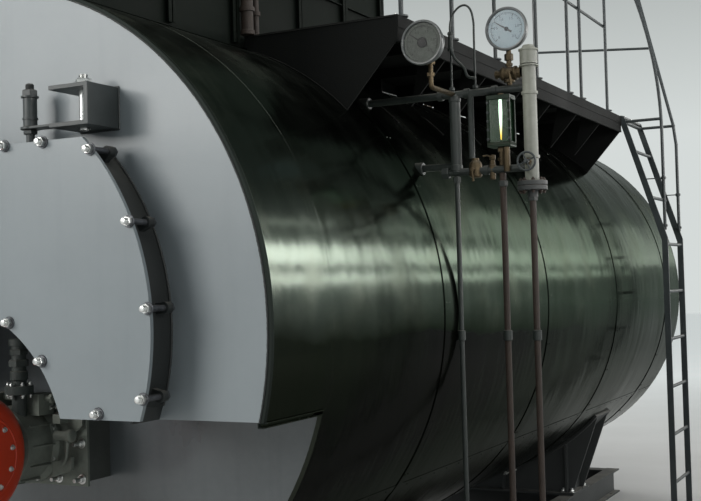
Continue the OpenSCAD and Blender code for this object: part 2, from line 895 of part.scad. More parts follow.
function stringer_x(z) = z < ladder_knee ? ladder_x
    : ladder_x - (z - ladder_knee) * (ladder_x - deck_outer) / (deck_top - ladder_knee);

module ladder_rungs() {
    color("darkslategray") on_axis()
        for (i = [0 : rung_count - 1])
            translate([stringer_x(rung_low + i * rung_pitch), 0, rung_low + i * rung_pitch])
                rod_y(stringer_y0 + stringer_t, stringer_y1, rung_r);
}

// Handrails beside the stringers: the near one leans in along one long curve, the far one after a short bend.
// The far one also carries the guard rails across the walkway's rear end.
module ladder_handrails() {
    reach = ladder_x - rail_x - rail_r - EPS;
    rail_z = deck_top + rail_h - rail_r;
    foot_z = ladder_knee + 60;
    near_r = 2700;
    near_rise = sqrt(2 * near_r * reach - reach * reach);
    far_lean = 13;
    far_bend = 125;
    far_out = far_bend * sin(far_lean / 2);
    far_knee = rail_z - (reach - far_out) / tan(far_lean);
    far_low = far_knee - far_bend * cos(far_lean / 2);
    guard_x = rail_x - 650;
    guard_z = deck_top + rail_h / 2 - 40;
    stay_z = deck_top - 34;
    stay_r = 9;
    color("darkslategray") on_axis() difference() {
        union() {
            translate([ladder_x, grab_y0, 0]) {
                rod_z(foot_z, rail_z - near_rise, grab_r);
                translate([-near_r, 0, rail_z - near_rise]) rotate([90, 0, 0])
                    rotate_extrude(angle = acos(1 - reach / near_r)) translate([near_r, 0]) circle(r = grab_r);
            }
            translate([ladder_x, grab_y1, 0]) {
                rod_z(foot_z, far_low, grab_r);
                translate([0, 0, far_low]) {
                    sphere(r = grab_r + 1);
                    rotate([0, -far_lean / 2, 0]) cylinder(h = far_bend, r = grab_r);
                }
                translate([-far_out, 0, far_knee]) {
                    sphere(r = grab_r + 1);
                    rotate([0, -far_lean, 0])
                        cylinder(h = (reach - far_out) / sin(far_lean) + 4, r = grab_r);
                }
            }
            // Guard post on the shell, with a middle and a top rail
            translate([guard_x, grab_y1, 0]) rod_z(shell_r * 0.9, rail_z, rail_post_r);
            translate([0, grab_y1, rail_z]) rod_x(guard_x - 4, rail_x, rail_r);
            translate([guard_x, grab_y1, guard_z + 60]) rotate([0, 94.5, 0])
                cylinder(h = 790, r = rail_r);
            // Bars that tie the ladder's top to the walkway and to the handrails
            for (y = [grab_y0, grab_y1])
                translate([0, y, stay_z]) rod_x(deck_outer + stay_r, ladder_x - 4, stay_r);
            translate([deck_outer + stay_r + 4, 0, stay_z])
                rod_y(stringer_y0 + stringer_t, stringer_y1, stay_r + 3);
        }
        translate([rail_x, 0, rail_z]) rod_y(0, body_len, rail_r + EPS);
        translate([0, grab_y1, 0]) shell_cut(-200, 200);
    }
}

// Gauge group

module connection_pipes() {
    upper_foot = sqrt(shell_r * shell_r - upper_z * upper_z) - 20;
    lower_foot = sqrt(shell_r * shell_r - lower_z * lower_z) - 40;
    lower_rise = 24;
    color("slategray") on_axis() translate([0, gauge_y, 0]) difference() {
        union() {
            translate([0, 0, upper_z]) rod_x(upper_foot, column_x, connect_r);
            translate([0, 0, lower_z + lower_rise]) rod_x(lower_foot, frame_x, connect_r);
            translate([0, 0, lower_z]) rod_x(frame_x - frame_r - 12, column_x, connect_r);
            // Uprights of the frame
            translate([frame_x, 0, 0]) rod_z(lower_z, upper_z, frame_r);
            translate([frame_x + frame_pitch, 0, 0]) rod_z(lower_z + 50 + EPS, upper_z, frame_r * 0.55);
        }
        shell_cut(-100, 100);
        translate([column_x, 0, 0]) rod_z(column_low - 100, column_top + 100, column_r + EPS);
    }
}

module water_column() {
    flange_r = 56;
    color("beige") on_axis() translate([column_x, gauge_y, 0]) {
        rod_z(column_low, column_top, column_r);
        rod_z(column_top - 64, column_top - 6, column_r + 7);
        rod_z(column_low - 18, column_low, flange_r);
        rod_z(column_low - 36, column_low - 18, flange_r);
        rod_z(column_low - 60, column_low - 36, 20);
    }
}

module water_gauge() {
    mid_z = (upper_z + lower_z) / 2 + 30;
    color("seagreen") on_axis() translate([glass_x, gauge_y, 0]) {
        translate([-glass_w / 2, -34, mid_z - glass_h / 2]) cube([glass_w, 68, glass_h]);
        rod_z(mid_z + glass_h / 2, upper_z - connect_r - EPS, 12);
        rod_z(lower_z + connect_r + EPS, mid_z - glass_h / 2, 12);
    }
}

// Pressure gauges that face the front
module pressure_gauges() {
    color("whitesmoke") on_axis() {
        translate([front_dial_x, front_dial_y, front_dial_z]) rod_y(-dial_t / 2, dial_t / 2, dial_r);
        translate([rear_dial_x, gauge_y, rear_dial_z]) rod_y(-dial_t / 2, dial_t / 2, dial_r);
    }
}

// Stems of the pressure gauges, the valve under the rear one, and the cocks of the lower connection
module gauge_cocks() {
    stem_r = 10;
    stem_y = front_dial_y + dial_t / 2 + 29;
    stem_z = front_dial_z - 20;
    valve_z = upper_z + 58;
    wheel_z = lower_z + 17;
    color("goldenrod") on_axis() difference() {
        union() {
            // Rear gauge
            translate([rear_dial_x, gauge_y, 0]) {
                rod_z(upper_z, rear_dial_z - dial_r + 2, stem_r);
                rod_z(upper_z + 24, upper_z + 36, 21);
                rod_z(rear_dial_z - dial_r - 34, rear_dial_z - dial_r - 8, 15);
                translate([0, 0, valve_z]) {
                    rod_x(-30, column_reach - rear_dial_reach - column_r - 4, 27);
                    rod_x(-54, -30, 16);
                }
            }
            // Front gauge
            translate([front_dial_x, 0, 0]) {
                translate([0, 0, stem_z]) rod_y(front_dial_y, stem_y, stem_r);
                translate([0, stem_y, stem_z]) sphere(r = stem_r);
                translate([0, stem_y, 0]) rod_z(upper_z, stem_z, stem_r);
                translate([0, stem_y, upper_z]) sphere(r = stem_r);
                translate([0, 0, upper_z]) rod_y(stem_y, gauge_y, stem_r);
            }
            // Cocks on the lower connection
            translate([0, gauge_y, lower_z]) {
                translate([glass_x - 109, 0, 0]) rod_z(-26, 50, 25);
                translate([glass_x - 40, 0, 0]) rod_z(-38, 60, 11);
            }
            // Cock on the water column, with its handwheel
            translate([column_x, gauge_y, wheel_z]) {
                rod_y(-60, 0, 9);
                rod_y(-66, -58, 30);
            }
        }
        translate([0, gauge_y, upper_z]) rod_x(0, column_x, connect_r + EPS);
        translate([0, gauge_y, lower_z]) rod_x(0, column_x, connect_r + EPS);
        translate([column_x, gauge_y, 0]) rod_z(column_low, column_top, column_r + EPS);
        translate([rear_dial_x, 0, rear_dial_z]) rod_y(gauge_y - dial_t, gauge_y + dial_t, dial_r + EPS);
        translate([front_dial_x, 0, front_dial_z])
            rod_y(front_dial_y - dial_t / 2 - EPS, front_dial_y + dial_t / 2 + EPS, dial_r + EPS);
        translate([frame_x, gauge_y, 0]) rod_z(lower_z, upper_z, frame_r + EPS);
    }
}

module drain_pipes() {
    pipe_xs = [frame_x, glass_x, column_x];
    pipe_rs = [drain_r * 0.8, drain_r, drain_r];
    pipe_top = lower_z - connect_r - EPS;
    pipe_tops = [pipe_top, pipe_top, column_low - 60];
    color("saddlebrown") on_axis()
        for (i = [0 : 2])
            translate([pipe_xs[i], gauge_y, 0]) rod_z(drain_low, pipe_tops[i], pipe_rs[i]);
}

skid();
front_saddle();
rear_saddle();
cladding();
cladding_bands();
smoke_box_shell();
smoke_box_floor();
front_plate();
door_neck();
right_door();
left_door();
door_clamps();
davit_brackets();
davit_pins();
davit_arms();
lifting_rods();
lower_front_plate();
front_rim();
burner_box();
burner_plate();
burner_body();
burner_fan_casing();
burner_motor();
burner_gas_pipe();
rear_end_plate();
rear_door();
economizer();
chimney_collar();
manhole();
steam_outlet();
safety_valves();
feed_inlet();
deck();
deck_gussets();
railing_posts();
railing_rails();
ladder_stringers();
ladder_rungs();
ladder_handrails();
connection_pipes();
water_column();
water_gauge();
pressure_gauges();
gauge_cocks();
drain_pipes();
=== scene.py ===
"""Looks of the industrial boiler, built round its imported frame."""
import json
import math

import bmesh
import bpy
from bpy.props import FloatProperty, FloatVectorProperty, PointerProperty
from mathutils import Matrix, Vector


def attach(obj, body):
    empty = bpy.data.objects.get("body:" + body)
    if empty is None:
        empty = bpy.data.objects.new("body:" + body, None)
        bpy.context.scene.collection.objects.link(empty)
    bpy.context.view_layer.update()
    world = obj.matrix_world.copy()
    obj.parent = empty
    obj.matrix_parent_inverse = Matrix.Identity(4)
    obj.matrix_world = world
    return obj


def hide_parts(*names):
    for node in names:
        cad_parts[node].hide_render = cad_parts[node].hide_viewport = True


bl_info = {
    "name": "Industrial boiler",
    "version": (1, 0, 0),
    "blender": (4, 5, 0),
    "location": "View3D > Sidebar > Boiler",
    "description": "Builds the visible pieces and finishes of a horizontal fire-tube boiler",
    "category": "Object",
}

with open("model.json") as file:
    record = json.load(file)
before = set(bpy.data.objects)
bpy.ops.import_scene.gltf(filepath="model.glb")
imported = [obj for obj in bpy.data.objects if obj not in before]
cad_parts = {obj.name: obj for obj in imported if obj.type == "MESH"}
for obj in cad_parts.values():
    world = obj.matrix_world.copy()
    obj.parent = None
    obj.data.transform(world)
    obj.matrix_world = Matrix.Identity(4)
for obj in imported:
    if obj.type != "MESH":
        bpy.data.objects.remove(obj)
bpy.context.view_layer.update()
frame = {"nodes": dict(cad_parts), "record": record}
SLOTS = {row["node"]: row["material_slot"] for row in frame["record"]["subparts"]}

# Sizes and places of the part's source that the details follow, in millimetres
MM = 0.001
BODY_LEN = 5440.0
AXIS_HEIGHT = 1400.0
SHELL_R = 1100.0
SEAM_R = SHELL_R + 1  # on the cladding, where seams and welds lie
CHORD = -273.0
SMOKE_DEPTH = 365.0
BURNER_Z = -392.0
DOOR_R, DOOR_TOP, DOOR_LOW, ARCH_R = 790, 560, -262, 472
HINGE_Y = -71.5
BAND_STARTS = (1240, 2493.33, 3746.67, 5000)
BAND_WIDTH = 50
GAUGE_Y = 1375.0
COLUMN_X = 1412
SIGHT_X = 1297
DRAIN_X, DRAIN_FOOT = 1110, -1280
COLLAR_Y = 1205
MANHOLE_Y = 2760
OUTLET_Y = 3420
VALVE_YS = (3960, 4400)
SADDLE_YS = (1060, 4380)
SKID_TOP = -1226
ECONOMIZER_RIBS = (66, 607, 1027, 1544, 1955, 2344)
DECK_Y, DECK_LEN, DECK_TOP = 1080, 3243, 1100
LADDER_NEAR, LADDER_FAR = 4323.0, 4763.0
REAR_CENTRE = (0, BODY_LEN, 60)
PLATE_Y, FAN_Y = 220.0, -145.0
EDGE = 1.5  # usual rounding of plate edges, which the other roundings follow

X, Y, Z = Vector((1, 0, 0)), Vector((0, 1, 0)), Vector((0, 0, 1))
SIDES = (-1, 1)


# Angles, paths and outlines

def at(x, y, z):
    """Point of the frame, from millimetres measured from the middle of the smoke box's front."""
    return Vector((x * MM, (y - BODY_LEN / 2) * MM, (z + AXIS_HEIGHT) * MM))


def around(count, turn=0.0):
    """Even angles round a circle, turned by a share of one step."""
    return [math.tau * (i + turn) / count for i in range(count)]


def spread(first, last, steps):
    """Even values from first to last, both included."""
    return [first + (last - first) * i / steps for i in range(steps + 1)]


def circle(steps):
    """Closed circle of radius 1 as cosines and sines."""
    return [(math.cos(a), math.sin(a)) for a in spread(0.0, math.tau, steps)]


def clock(angle):
    """Direction across the shell, turned from the top towards +x."""
    return Vector((math.sin(angle), 0, math.cos(angle)))


def ray(angle):
    """Direction across the shell, turned from +x towards the top."""
    return Vector((math.cos(angle), 0, math.sin(angle)))


def ring_path(radius, y, first=0.0, last=math.tau, steps=96, centre=(0.0, 0.0)):
    """Arc round an axis along y, from the top towards +x."""
    return [(centre[0] + radius * math.sin(a), y, centre[1] + radius * math.cos(a))
            for a in spread(first, last, steps)]


def flat_ring(radius, x, y, z, steps=32):
    """Closed path round an upright axis."""
    return [(x + radius * c, y + radius * s, z) for c, s in circle(steps)]


def both_sides(*paths):
    """Each path and its mirror image across the boiler's middle."""
    return [side for path in paths for side in (path, [(-x, y, z) for x, y, z in path])]


def bolt_circle(count, radius, x, y, z, direction):
    """Places and directions of bolts on a circle round an upright axis."""
    return [((x + radius * math.cos(a), y + radius * math.sin(a), z), direction) for a in around(count, 0.5)]


def door_path(inset, y):
    """Closed path round both doors, pulled in by inset, at one depth."""
    steps = 40
    radius, top, low, arch = DOOR_R - inset, DOOR_TOP - inset, DOOR_LOW + inset, ARCH_R + inset
    right = [(0.0, y, top)]
    right += ring_path(radius, y, math.acos(top / radius), math.acos(low / radius), steps)
    right += ring_path(arch, y, math.acos((low - BURNER_Z) / arch), 0.0, steps, (0.0, BURNER_Z))
    return right + [(-x, y, z) for x, _, z in reversed(right[:-1])]


def smooth(points):
    """Points of a curve that passes through the given ones."""
    steps = 6
    points = [Vector(p) for p in points]
    padded = [points[0] * 2 - points[1]] + points + [points[-1] * 2 - points[-2]]
    curve = []
    for a, b, c, d in zip(padded, padded[1:], padded[2:], padded[3:]):
        reach = (c - b).length
        near, far = ((c - a) * 0.5).normalized() * reach, ((d - b) * 0.5).normalized() * reach
        for i in range(steps):
            t = i / steps
            curve.append(b * (2 * t ** 3 - 3 * t * t + 1) + near * (t ** 3 - 2 * t * t + t)
                         + c * (3 * t * t - 2 * t ** 3) + far * (t ** 3 - t * t))
    return curve + [points[-1]]


# Shapes

class Shape:
    """A mesh in the making, in millimetres from its own spot, which is measured as in at()."""

    def __init__(self, x=0, y=0, z=0):
        self.bm = bmesh.new()
        self.move(x, y, z)

    def move(self, x, y, z):
        """Sets the spot from which the next forms are measured."""
        self.spot = Vector((x, y, z))
        return self

    def lathe(self, profile, origin=(0, 0, 0), axis=Z, steps=32, start=0.0):
        """Turns (radius, height) points round an axis through the origin."""
        turn = Vector(axis).to_track_quat("Z", "Y").to_matrix()
        origin = self.spot + Vector(origin)
        rings = []
        for radius, height in profile:
            angles = [start + math.tau * i / steps for i in range(1 if radius < 1e-6 else steps)]
            places = [Vector((radius * math.cos(a), radius * math.sin(a), height)) for a in angles]
            rings.append([self.bm.verts.new(origin + turn @ place) for place in places])
        for low, high in zip(rings, rings[1:]):
            for i in range(steps):
                j = (i + 1) % steps
                corners = dict.fromkeys((low[i % len(low)], low[j % len(low)], high[j % len(high)],
                                         high[i % len(high)]))
                if len(corners) > 2:
                    self.bm.faces.new(list(corners))
        return self

    def ring(self, inner, outer, height, origin=(0, 0, 0), axis=Z, steps=24, edge=0.0):
        """Collar round an axis; edge is how far its outer edges are cut back."""
        profile = [(inner, 0), (outer, edge), (outer, height - edge), (inner, height)]
        return self.lathe(profile, origin, axis, steps)

    def rod(self, start, end, radius, steps=24, chamfer=0.0):
        """Round bar from one point to another, its ends slightly chamfered."""
        start, end = Vector(start), Vector(end)
        length = (end - start).length
        side = [(radius, 0), (radius, length)]
        if chamfer:
            side = [(radius - chamfer, 0), (radius, chamfer), (radius, length - chamfer), (radius - chamfer, length)]
        return self.lathe([(0, 0)] + side + [(0, length)], start, end - start, steps)

    def tube(self, points, radius, steps=12):
        """Round bar along a smooth path; radius is one number or one for each point."""
        points = [self.spot + Vector(p) for p in points]
        radii = radius if isinstance(radius, list) else [radius] * len(points)
        rings = []
        side = None
        for i, point in enumerate(points):
            ahead = (points[min(i + 1, len(points) - 1)] - points[max(i - 1, 0)]).normalized()
            side = side or ahead.orthogonal().normalized()
            side = (side - ahead * side.dot(ahead)).normalized()
            other = ahead.cross(side)
            rings.append([self.bm.verts.new(point + radii[i] * (side * math.cos(a) + other * math.sin(a)))
                          for a in around(steps)])
        for low, high in zip(rings, rings[1:]):
            for i in range(steps):
                j = (i + 1) % steps
                self.bm.faces.new((low[i], low[j], high[j], high[i]))
        self.bm.faces.new(list(reversed(rings[0])))
        self.bm.faces.new(rings[-1])
        return self

    def slab(self, outline, u, v, depth, origin=(0, 0, 0)):
        """Plate whose outline lies along u and v, as thick as depth along their cross product."""
        origin, u, v = self.spot + Vector(origin), Vector(u).normalized(), Vector(v).normalized()
        low = [self.bm.verts.new(origin + u * a + v * b) for a, b in outline]
        high = [self.bm.verts.new(vert.co + u.cross(v) * depth) for vert in low]
        self.bm.faces.new(list(reversed(low)))
        self.bm.faces.new(high)
        for i in range(len(low)):
            j = (i + 1) % len(low)
            self.bm.faces.new((low[i], low[j], high[j], high[i]))
        return self

    def box(self, xs, ys, zs):
        """Block between two values each of x, y and z, in any order."""
        (x0, x1), (y0, y1), (z0, z1) = sorted(xs), sorted(ys), sorted(zs)
        return self.slab([(0, 0), (x1 - x0, 0), (x1 - x0, y1 - y0), (0, y1 - y0)], X, Y, z1 - z0, (x0, y0, z0))

    def hexagon(self, origin, axis, across, height, turn=0.0):
        """Nut or bolt head: a hexagon with a rounded top edge."""
        radius = across / math.sqrt(3)
        crown = min(radius * 0.12, height * 0.2)
        profile = [(0, 0), (radius, 0), (radius, height - crown), (radius * 0.9, height), (0, height)]
        return self.lathe(profile, origin, axis, 6, turn)

    def stud(self, start, axis, radius, length, pitch=2.5, steps=14):
        """Threaded end of a bolt, its last turns thinner."""
        profile = [(0, 0), (radius * 0.86, 0)]
        for i in range(int(length / pitch)):
            profile += [(radius, (i + 0.3) * pitch), (radius, (i + 0.5) * pitch), (radius * 0.86, (i + 0.85) * pitch)]
        return self.lathe(profile + [(radius * 0.7, length), (0, length)], start, axis, steps)

    def figures(self, words, place, height):
        """Flat figures that face the front."""
        curve = bpy.data.curves.new("figures", "FONT")
        curve.body, curve.size = words, height
        curve.align_x, curve.align_y = "CENTER", "CENTER"
        curve.extrude, curve.resolution_u = 0.15, 2
        obj = new_object("figures", curve)
        graph = bpy.context.evaluated_depsgraph_get()
        graph.update()
        mesh = bpy.data.meshes.new_from_object(obj.evaluated_get(graph))
        old = set(self.bm.verts)
        self.bm.from_mesh(mesh)
        for vert in set(self.bm.verts) - old:
            vert.co = self.spot + Vector(place) + Vector((vert.co.x, -vert.co.z, vert.co.y))
        bpy.data.objects.remove(obj)
        bpy.data.curves.remove(curve)
        bpy.data.meshes.remove(mesh)

    def into_mesh(self, name, place):
        """Ends the shape as a mesh whose points go through place."""
        bmesh.ops.recalc_face_normals(self.bm, faces=self.bm.faces)
        for vert in self.bm.verts:
            vert.co = place(*vert.co)
        mesh = bpy.data.meshes.new(name)
        self.bm.to_mesh(mesh)
        self.bm.free()
        return mesh


# Pieces

def new_object(name, data):
    obj = bpy.data.objects.new(name, data)
    bpy.context.scene.collection.objects.link(obj)
    return obj


def applied(obj):
    """Turns what an object's modifiers make into its plain mesh."""
    graph = bpy.context.evaluated_depsgraph_get()
    graph.update()
    mesh = bpy.data.meshes.new_from_object(obj.evaluated_get(graph))
    old = obj.data
    obj.modifiers.clear()
    obj.data = mesh
    bpy.data.meshes.remove(old)
    mesh.name = obj.name
    return obj


def bevelled(obj, width, segments=2, angle=32.0):
    """Rounds an object's sharp edges; width in millimetres."""
    if width > 0:
        bevel = obj.modifiers.new("Rounded edges", "BEVEL")
        bevel.width = width * MM
        bevel.segments = segments
        bevel.limit_method = "ANGLE"
        bevel.angle_limit = math.radians(angle)
        bevel.use_clamp_overlap = True
        applied(obj)
    return obj


def finished(obj, material, replaces=(), sharp=35.0, weighted=False):
    """Gives a piece its material, smooths its curved faces, hangs it on the root body and hides the parts it replaces.
    """
    obj.data.materials.clear()
    obj.data.materials.append(material)
    obj.data.shade_smooth()
    obj.data.set_sharp_from_angle(angle=math.radians(sharp))
    if weighted:
        even = obj.modifiers.new("Flat faces lead", "WEIGHTED_NORMAL")
        even.keep_sharp = True
        even.weight = 100
        applied(obj)
    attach(obj, "root")
    if replaces:
        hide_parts(*replaces)
    return obj


def piece(shape, name, slot, replaces=(), bevel=0.0, sharp=35.0, material=None):
    """Makes a finished piece from a shape, in its slot's finish unless a material is given."""
    bmesh.ops.remove_doubles(shape.bm, verts=shape.bm.verts, dist=0.001)
    obj = bevelled(new_object(name, shape.into_mesh(name, at)), bevel)
    return finished(obj, material or finish(slot), replaces, sharp, bevel > 0)


def dress(node, rounding=0.0, material=None):
    """Stands for one node with a smoothed copy in its finish, its edges rounded where asked."""
    bm = bmesh.new()
    bm.from_mesh(frame["nodes"][node].data)
    bmesh.ops.remove_doubles(bm, verts=bm.verts, dist=2e-5)
    bmesh.ops.dissolve_limit(bm, angle_limit=math.radians(0.4), verts=bm.verts, edges=bm.edges)
    mesh = bpy.data.meshes.new(node + "_finished")
    bm.to_mesh(mesh)
    bm.free()
    obj = bevelled(new_object(node + "_finished", mesh), rounding)
    return finished(obj, material or finish(SLOTS[node]), (node,), weighted=True)


# Node trees

class Wires:
    """Adds nodes to a tree and links them."""

    def __init__(self, tree):
        self.tree = tree

    def fill(self, node, **sockets):
        """Sets or links a node's sockets, each given by its name or as _number."""
        for key, value in sockets.items():
            socket = node.inputs[int(key[1:]) if key[0] == "_" else key.replace("_", " ")]
            if isinstance(value, bpy.types.NodeSocket):
                self.tree.links.new(value, socket)
            else:
                socket.default_value = value
        return node

    def add(self, kind, settings=None, **sockets):
        """Adds a node with its settings and its sockets filled."""
        node = self.tree.nodes.new(kind)
        for key, value in (settings or {}).items():
            setattr(node, key, value)
        return self.fill(node, **sockets)

    def number(self, operation, *values):
        """Result of a Math node."""
        values = {"_%d" % i: value for i, value in enumerate(values)}
        return self.add("ShaderNodeMath", {"operation": operation}, **values).outputs[0]

    def ranged(self, value, low, high, out_low=0.0, out_high=1.0):
        """Value carried from one range to another, and kept inside it."""
        return self.add("ShaderNodeMapRange", _0=value, _1=low, _2=high, _3=out_low, _4=out_high).outputs[0]

    def mix(self, share, first, second):
        """Colour between two colours."""
        return self.add("ShaderNodeMix", {"data_type": "RGBA"}, _0=share, _6=first, _7=second).outputs[2]

    def between(self, share, first, second):
        """Number between two numbers."""
        return self.add("ShaderNodeMix", _0=share, _2=first, _3=second).outputs[0]

    def noise(self, vector, scale, detail, roughness=0.5):
        return self.add("ShaderNodeTexNoise", Vector=vector, Scale=scale, Detail=detail,
                        Roughness=roughness).outputs[0]

    def part(self, vector, index):
        """One of a vector's three numbers."""
        return self.add("ShaderNodeSeparateXYZ", _0=vector).outputs[index]

    def effect(self, tree, **sockets):
        """Places a shared effect."""
        return self.add("ShaderNodeGroup", {"node_tree": tree}, **sockets).outputs

    def mottle(self, coords, scale, low, high):
        return self.effect(mottle_group(), Vector=coords, Scale=scale, Low=low, High=high)[0]

    def streaks(self, coords, scale, low, high):
        return self.effect(streak_group(), Vector=coords, Scale=scale, Low=low, High=high)[0]

    def random(self, low, high, seed):
        return self.add("FunctionNodeRandomValue", {"data_type": "FLOAT"}, _2=low, _3=high, Seed=seed).outputs[1]

    def attribute(self, name):
        return self.add("GeometryNodeInputNamedAttribute", {"data_type": "FLOAT_VECTOR"}, Name=name).outputs[0]


def node_group(name, kind, inputs, outputs, build):
    """Makes a node group once; inputs and outputs give each socket's kind and default by its name."""
    tree = bpy.data.node_groups.get(name)
    if tree:
        return tree
    tree = bpy.data.node_groups.new(name, kind)
    for way, sockets in (("INPUT", inputs), ("OUTPUT", outputs)):
        for label, (sort, *default) in sockets.items():
            made = tree.interface.new_socket(name=label, in_out=way, socket_type="NodeSocket" + sort)
            if default:
                made.default_value = default[0]
    source = tree.nodes.new("NodeGroupInput").outputs
    target = tree.nodes.new("NodeGroupOutput").inputs
    for label, out in build(Wires(tree), source).items():
        tree.links.new(out, target[label])
    return tree


# Repeated pieces, made by geometry nodes

def geometry_group(name, inputs, build):
    """A group whose instances or swept curve are made real and get the input's material."""
    def real(wires, source):
        made = wires.add("GeometryNodeRealizeInstances", _0=build(wires, source)).outputs[0]
        return {"Geometry": wires.add("GeometryNodeSetMaterial", Geometry=made,
                                      Material=source["Material"]).outputs[0]}
    inputs = {"Geometry": ("Geometry",), **inputs, "Material": ("Material",)}
    return node_group(name, "GeometryNodeTree", inputs, {"Geometry": ("Geometry",)}, real)


def fastener_group():
    """Bolt heads or nuts with a washer and a stud's end on each point, along the attribute aim."""
    def build(wires, source):
        join = wires.add("GeometryNodeJoinGeometry")
        for form, base, sides in (("Stud", 0.0, 12), ("Washer", 0.0, 20),
                                  ("Head", source["Washer Height"], source["Head Sides"])):
            height = source["Stud Length" if form == "Stud" else form + " Height"]
            cylinder = wires.add("GeometryNodeMeshCylinder", Vertices=sides, Radius=source[form + " Radius"],
                                 Depth=height)
            middle = wires.add("ShaderNodeCombineXYZ", Z=wires.number("MULTIPLY_ADD", height, 0.5, base))
            wires.fill(join, _0=wires.add("GeometryNodeTransform", Geometry=cylinder.outputs["Mesh"],
                                          Translation=middle.outputs[0]).outputs[0])
        align = wires.add("FunctionNodeAlignRotationToVector", {"axis": "Z"}, Vector=wires.attribute("aim"))
        spin = wires.add("ShaderNodeCombineXYZ", Z=wires.random(0.0, math.tau, source["Seed"]))
        turn = wires.add("FunctionNodeEulerToRotation", _0=spin.outputs[0])
        both = wires.add("FunctionNodeRotateRotation", {"rotation_space": "LOCAL"}, _0=align.outputs[0],
                         _1=turn.outputs[0])
        return wires.add("GeometryNodeInstanceOnPoints", Points=source["Geometry"], Instance=join.outputs[0],
                         Rotation=both.outputs[0]).outputs[0]
    return geometry_group("Fasteners", {
        "Head Radius": ("Float", 0.012), "Head Height": ("Float", 0.01), "Washer Radius": ("Float", 0.016),
        "Washer Height": ("Float", 0.003), "Stud Radius": ("Float", 0.007), "Stud Length": ("Float", 0.016),
        "Head Sides": ("Int", 6), "Seed": ("Int", 3)}, build)


def bead_group():
    """A weld bead along an edge path, its width uneven."""
    def build(wires, source):
        curve = wires.add("GeometryNodeMeshToCurve", _0=source["Geometry"])
        even = wires.add("GeometryNodeResampleCurve", {"mode": "LENGTH"}, Curve=curve.outputs[0],
                         Length=source["Step"])
        size = wires.number("MULTIPLY", wires.random(0.75, 1.15, source["Seed"]), source["Radius"])
        circle_curve = wires.add("GeometryNodeCurvePrimitiveCircle", Resolution=6, Radius=1.0)
        widths = wires.add("GeometryNodeSetCurveRadius", Curve=even.outputs[0], Radius=size)
        sweep = wires.add("GeometryNodeCurveToMesh", Curve=widths.outputs[0], Fill_Caps=True,
                          Profile_Curve=circle_curve.outputs["Curve"])
        if "Scale" in sweep.inputs:
            wires.fill(sweep, Scale=size)
        return sweep.outputs[0]
    return geometry_group("Weld bead", {"Radius": ("Float", 0.004), "Step": ("Float", 0.004), "Seed": ("Int", 5)},
                          build)


def scatter_group():
    """Copies of one small shape on points, each turned by the attribute turn."""
    def build(wires, source):
        one = wires.add("GeometryNodeObjectInfo", Object=source["Shape"])
        rotation = wires.add("FunctionNodeEulerToRotation", _0=wires.attribute("turn"))
        low, high = (wires.number("MULTIPLY_ADD", source["Size Spread"], sign, 1.0) for sign in (-1.0, 1.0))
        return wires.add("GeometryNodeInstanceOnPoints", Points=source["Geometry"],
                         Instance=one.outputs["Geometry"], Rotation=rotation.outputs[0],
                         Scale=wires.random(low, high, source["Seed"])).outputs[0]
    return geometry_group("Scatter", {"Shape": ("Object",), "Size Spread": ("Float", 0.04), "Seed": ("Int", 2)},
                          build)


def grown(name, places, edges, tree, values, **vectors):
    """Plain mesh that a group grows on points, which carry vectors as attributes."""
    mesh = bpy.data.meshes.new(name)
    mesh.from_pydata([at(*place) for place in places], edges, [])
    for label, rows in vectors.items():
        data = mesh.attributes.new(label, "FLOAT_VECTOR", "POINT").data
        for item, row in zip(data, rows):
            item.vector = row
    obj = new_object(name, mesh)
    modifier = obj.modifiers.new(tree.name, "NODES")
    modifier.node_group = tree
    for item in tree.interface.items_tree:
        if item.in_out == "INPUT" and item.name in values:
            modifier[item.identifier] = values[item.name]
    return applied(obj)


def fasteners(name, slot, spots, head, height, washer=0.0, stud=0.0, stud_out=0.0, bevel=0.0, seed=3):
    """Bolts or nuts on points given as (place, direction), sizes in millimetres."""
    washer_h = head * 0.22 if washer else height * 0.5
    obj = grown(name, [place for place, _ in spots], [], fastener_group(), {
        "Head Radius": head * MM, "Head Height": height * MM,
        "Washer Radius": (washer or head * 0.8) * MM, "Washer Height": washer_h * MM,
        "Stud Radius": (stud or head * 0.5) * MM,
        "Stud Length": (washer_h + height + stud_out if stud else height * 0.6) * MM,
        "Head Sides": 6, "Seed": seed, "Material": finish(slot),
    }, aim=[Vector(direction).normalized() for _, direction in spots])
    return finished(bevelled(obj, bevel, 1, 50), finish(slot))


def weld_beads(name, slot, paths, radius=4.0, seed=5):
    """Weld beads along paths given in millimetres."""
    places, edges = [], []
    for path in paths:
        edges += [(len(places) + i, len(places) + i + 1) for i in range(len(path) - 1)]
        places += path
    obj = grown(name, places, edges, bead_group(), {"Radius": radius * MM, "Step": radius * 0.9 * MM, "Seed": seed,
                                                    "Material": finish(slot)})
    return finished(obj, finish(slot), sharp=60)


def scattered(name, slot, shape, spots, spread_of_size=0.03):
    """Copies of a shape, modelled in millimetres round the origin, on (place, axis, roll) spots."""
    mesh = shape.into_mesh(name + "_one", lambda *place: Vector(place) * MM)
    one = new_object(name + "_one", mesh)
    turns = [(Vector(axis).to_track_quat("Z", "Y").to_matrix() @ Matrix.Rotation(roll, 3, "Z")).to_euler()
             for _, axis, roll in spots]
    values = {"Shape": one, "Size Spread": spread_of_size, "Seed": 2, "Material": finish(slot)}
    obj = grown(name, [place for place, _, _ in spots], [], scatter_group(), values, turn=turns)
    bpy.data.objects.remove(one)
    bpy.data.meshes.remove(mesh)
    return finished(obj, finish(slot))


# Finishes

MASK = {"Mask": ("Float",)}


def shader_group(name, inputs, outputs, build):
    return node_group(name, "ShaderNodeTree", {"Vector": ("Vector",), **inputs}, outputs, build)


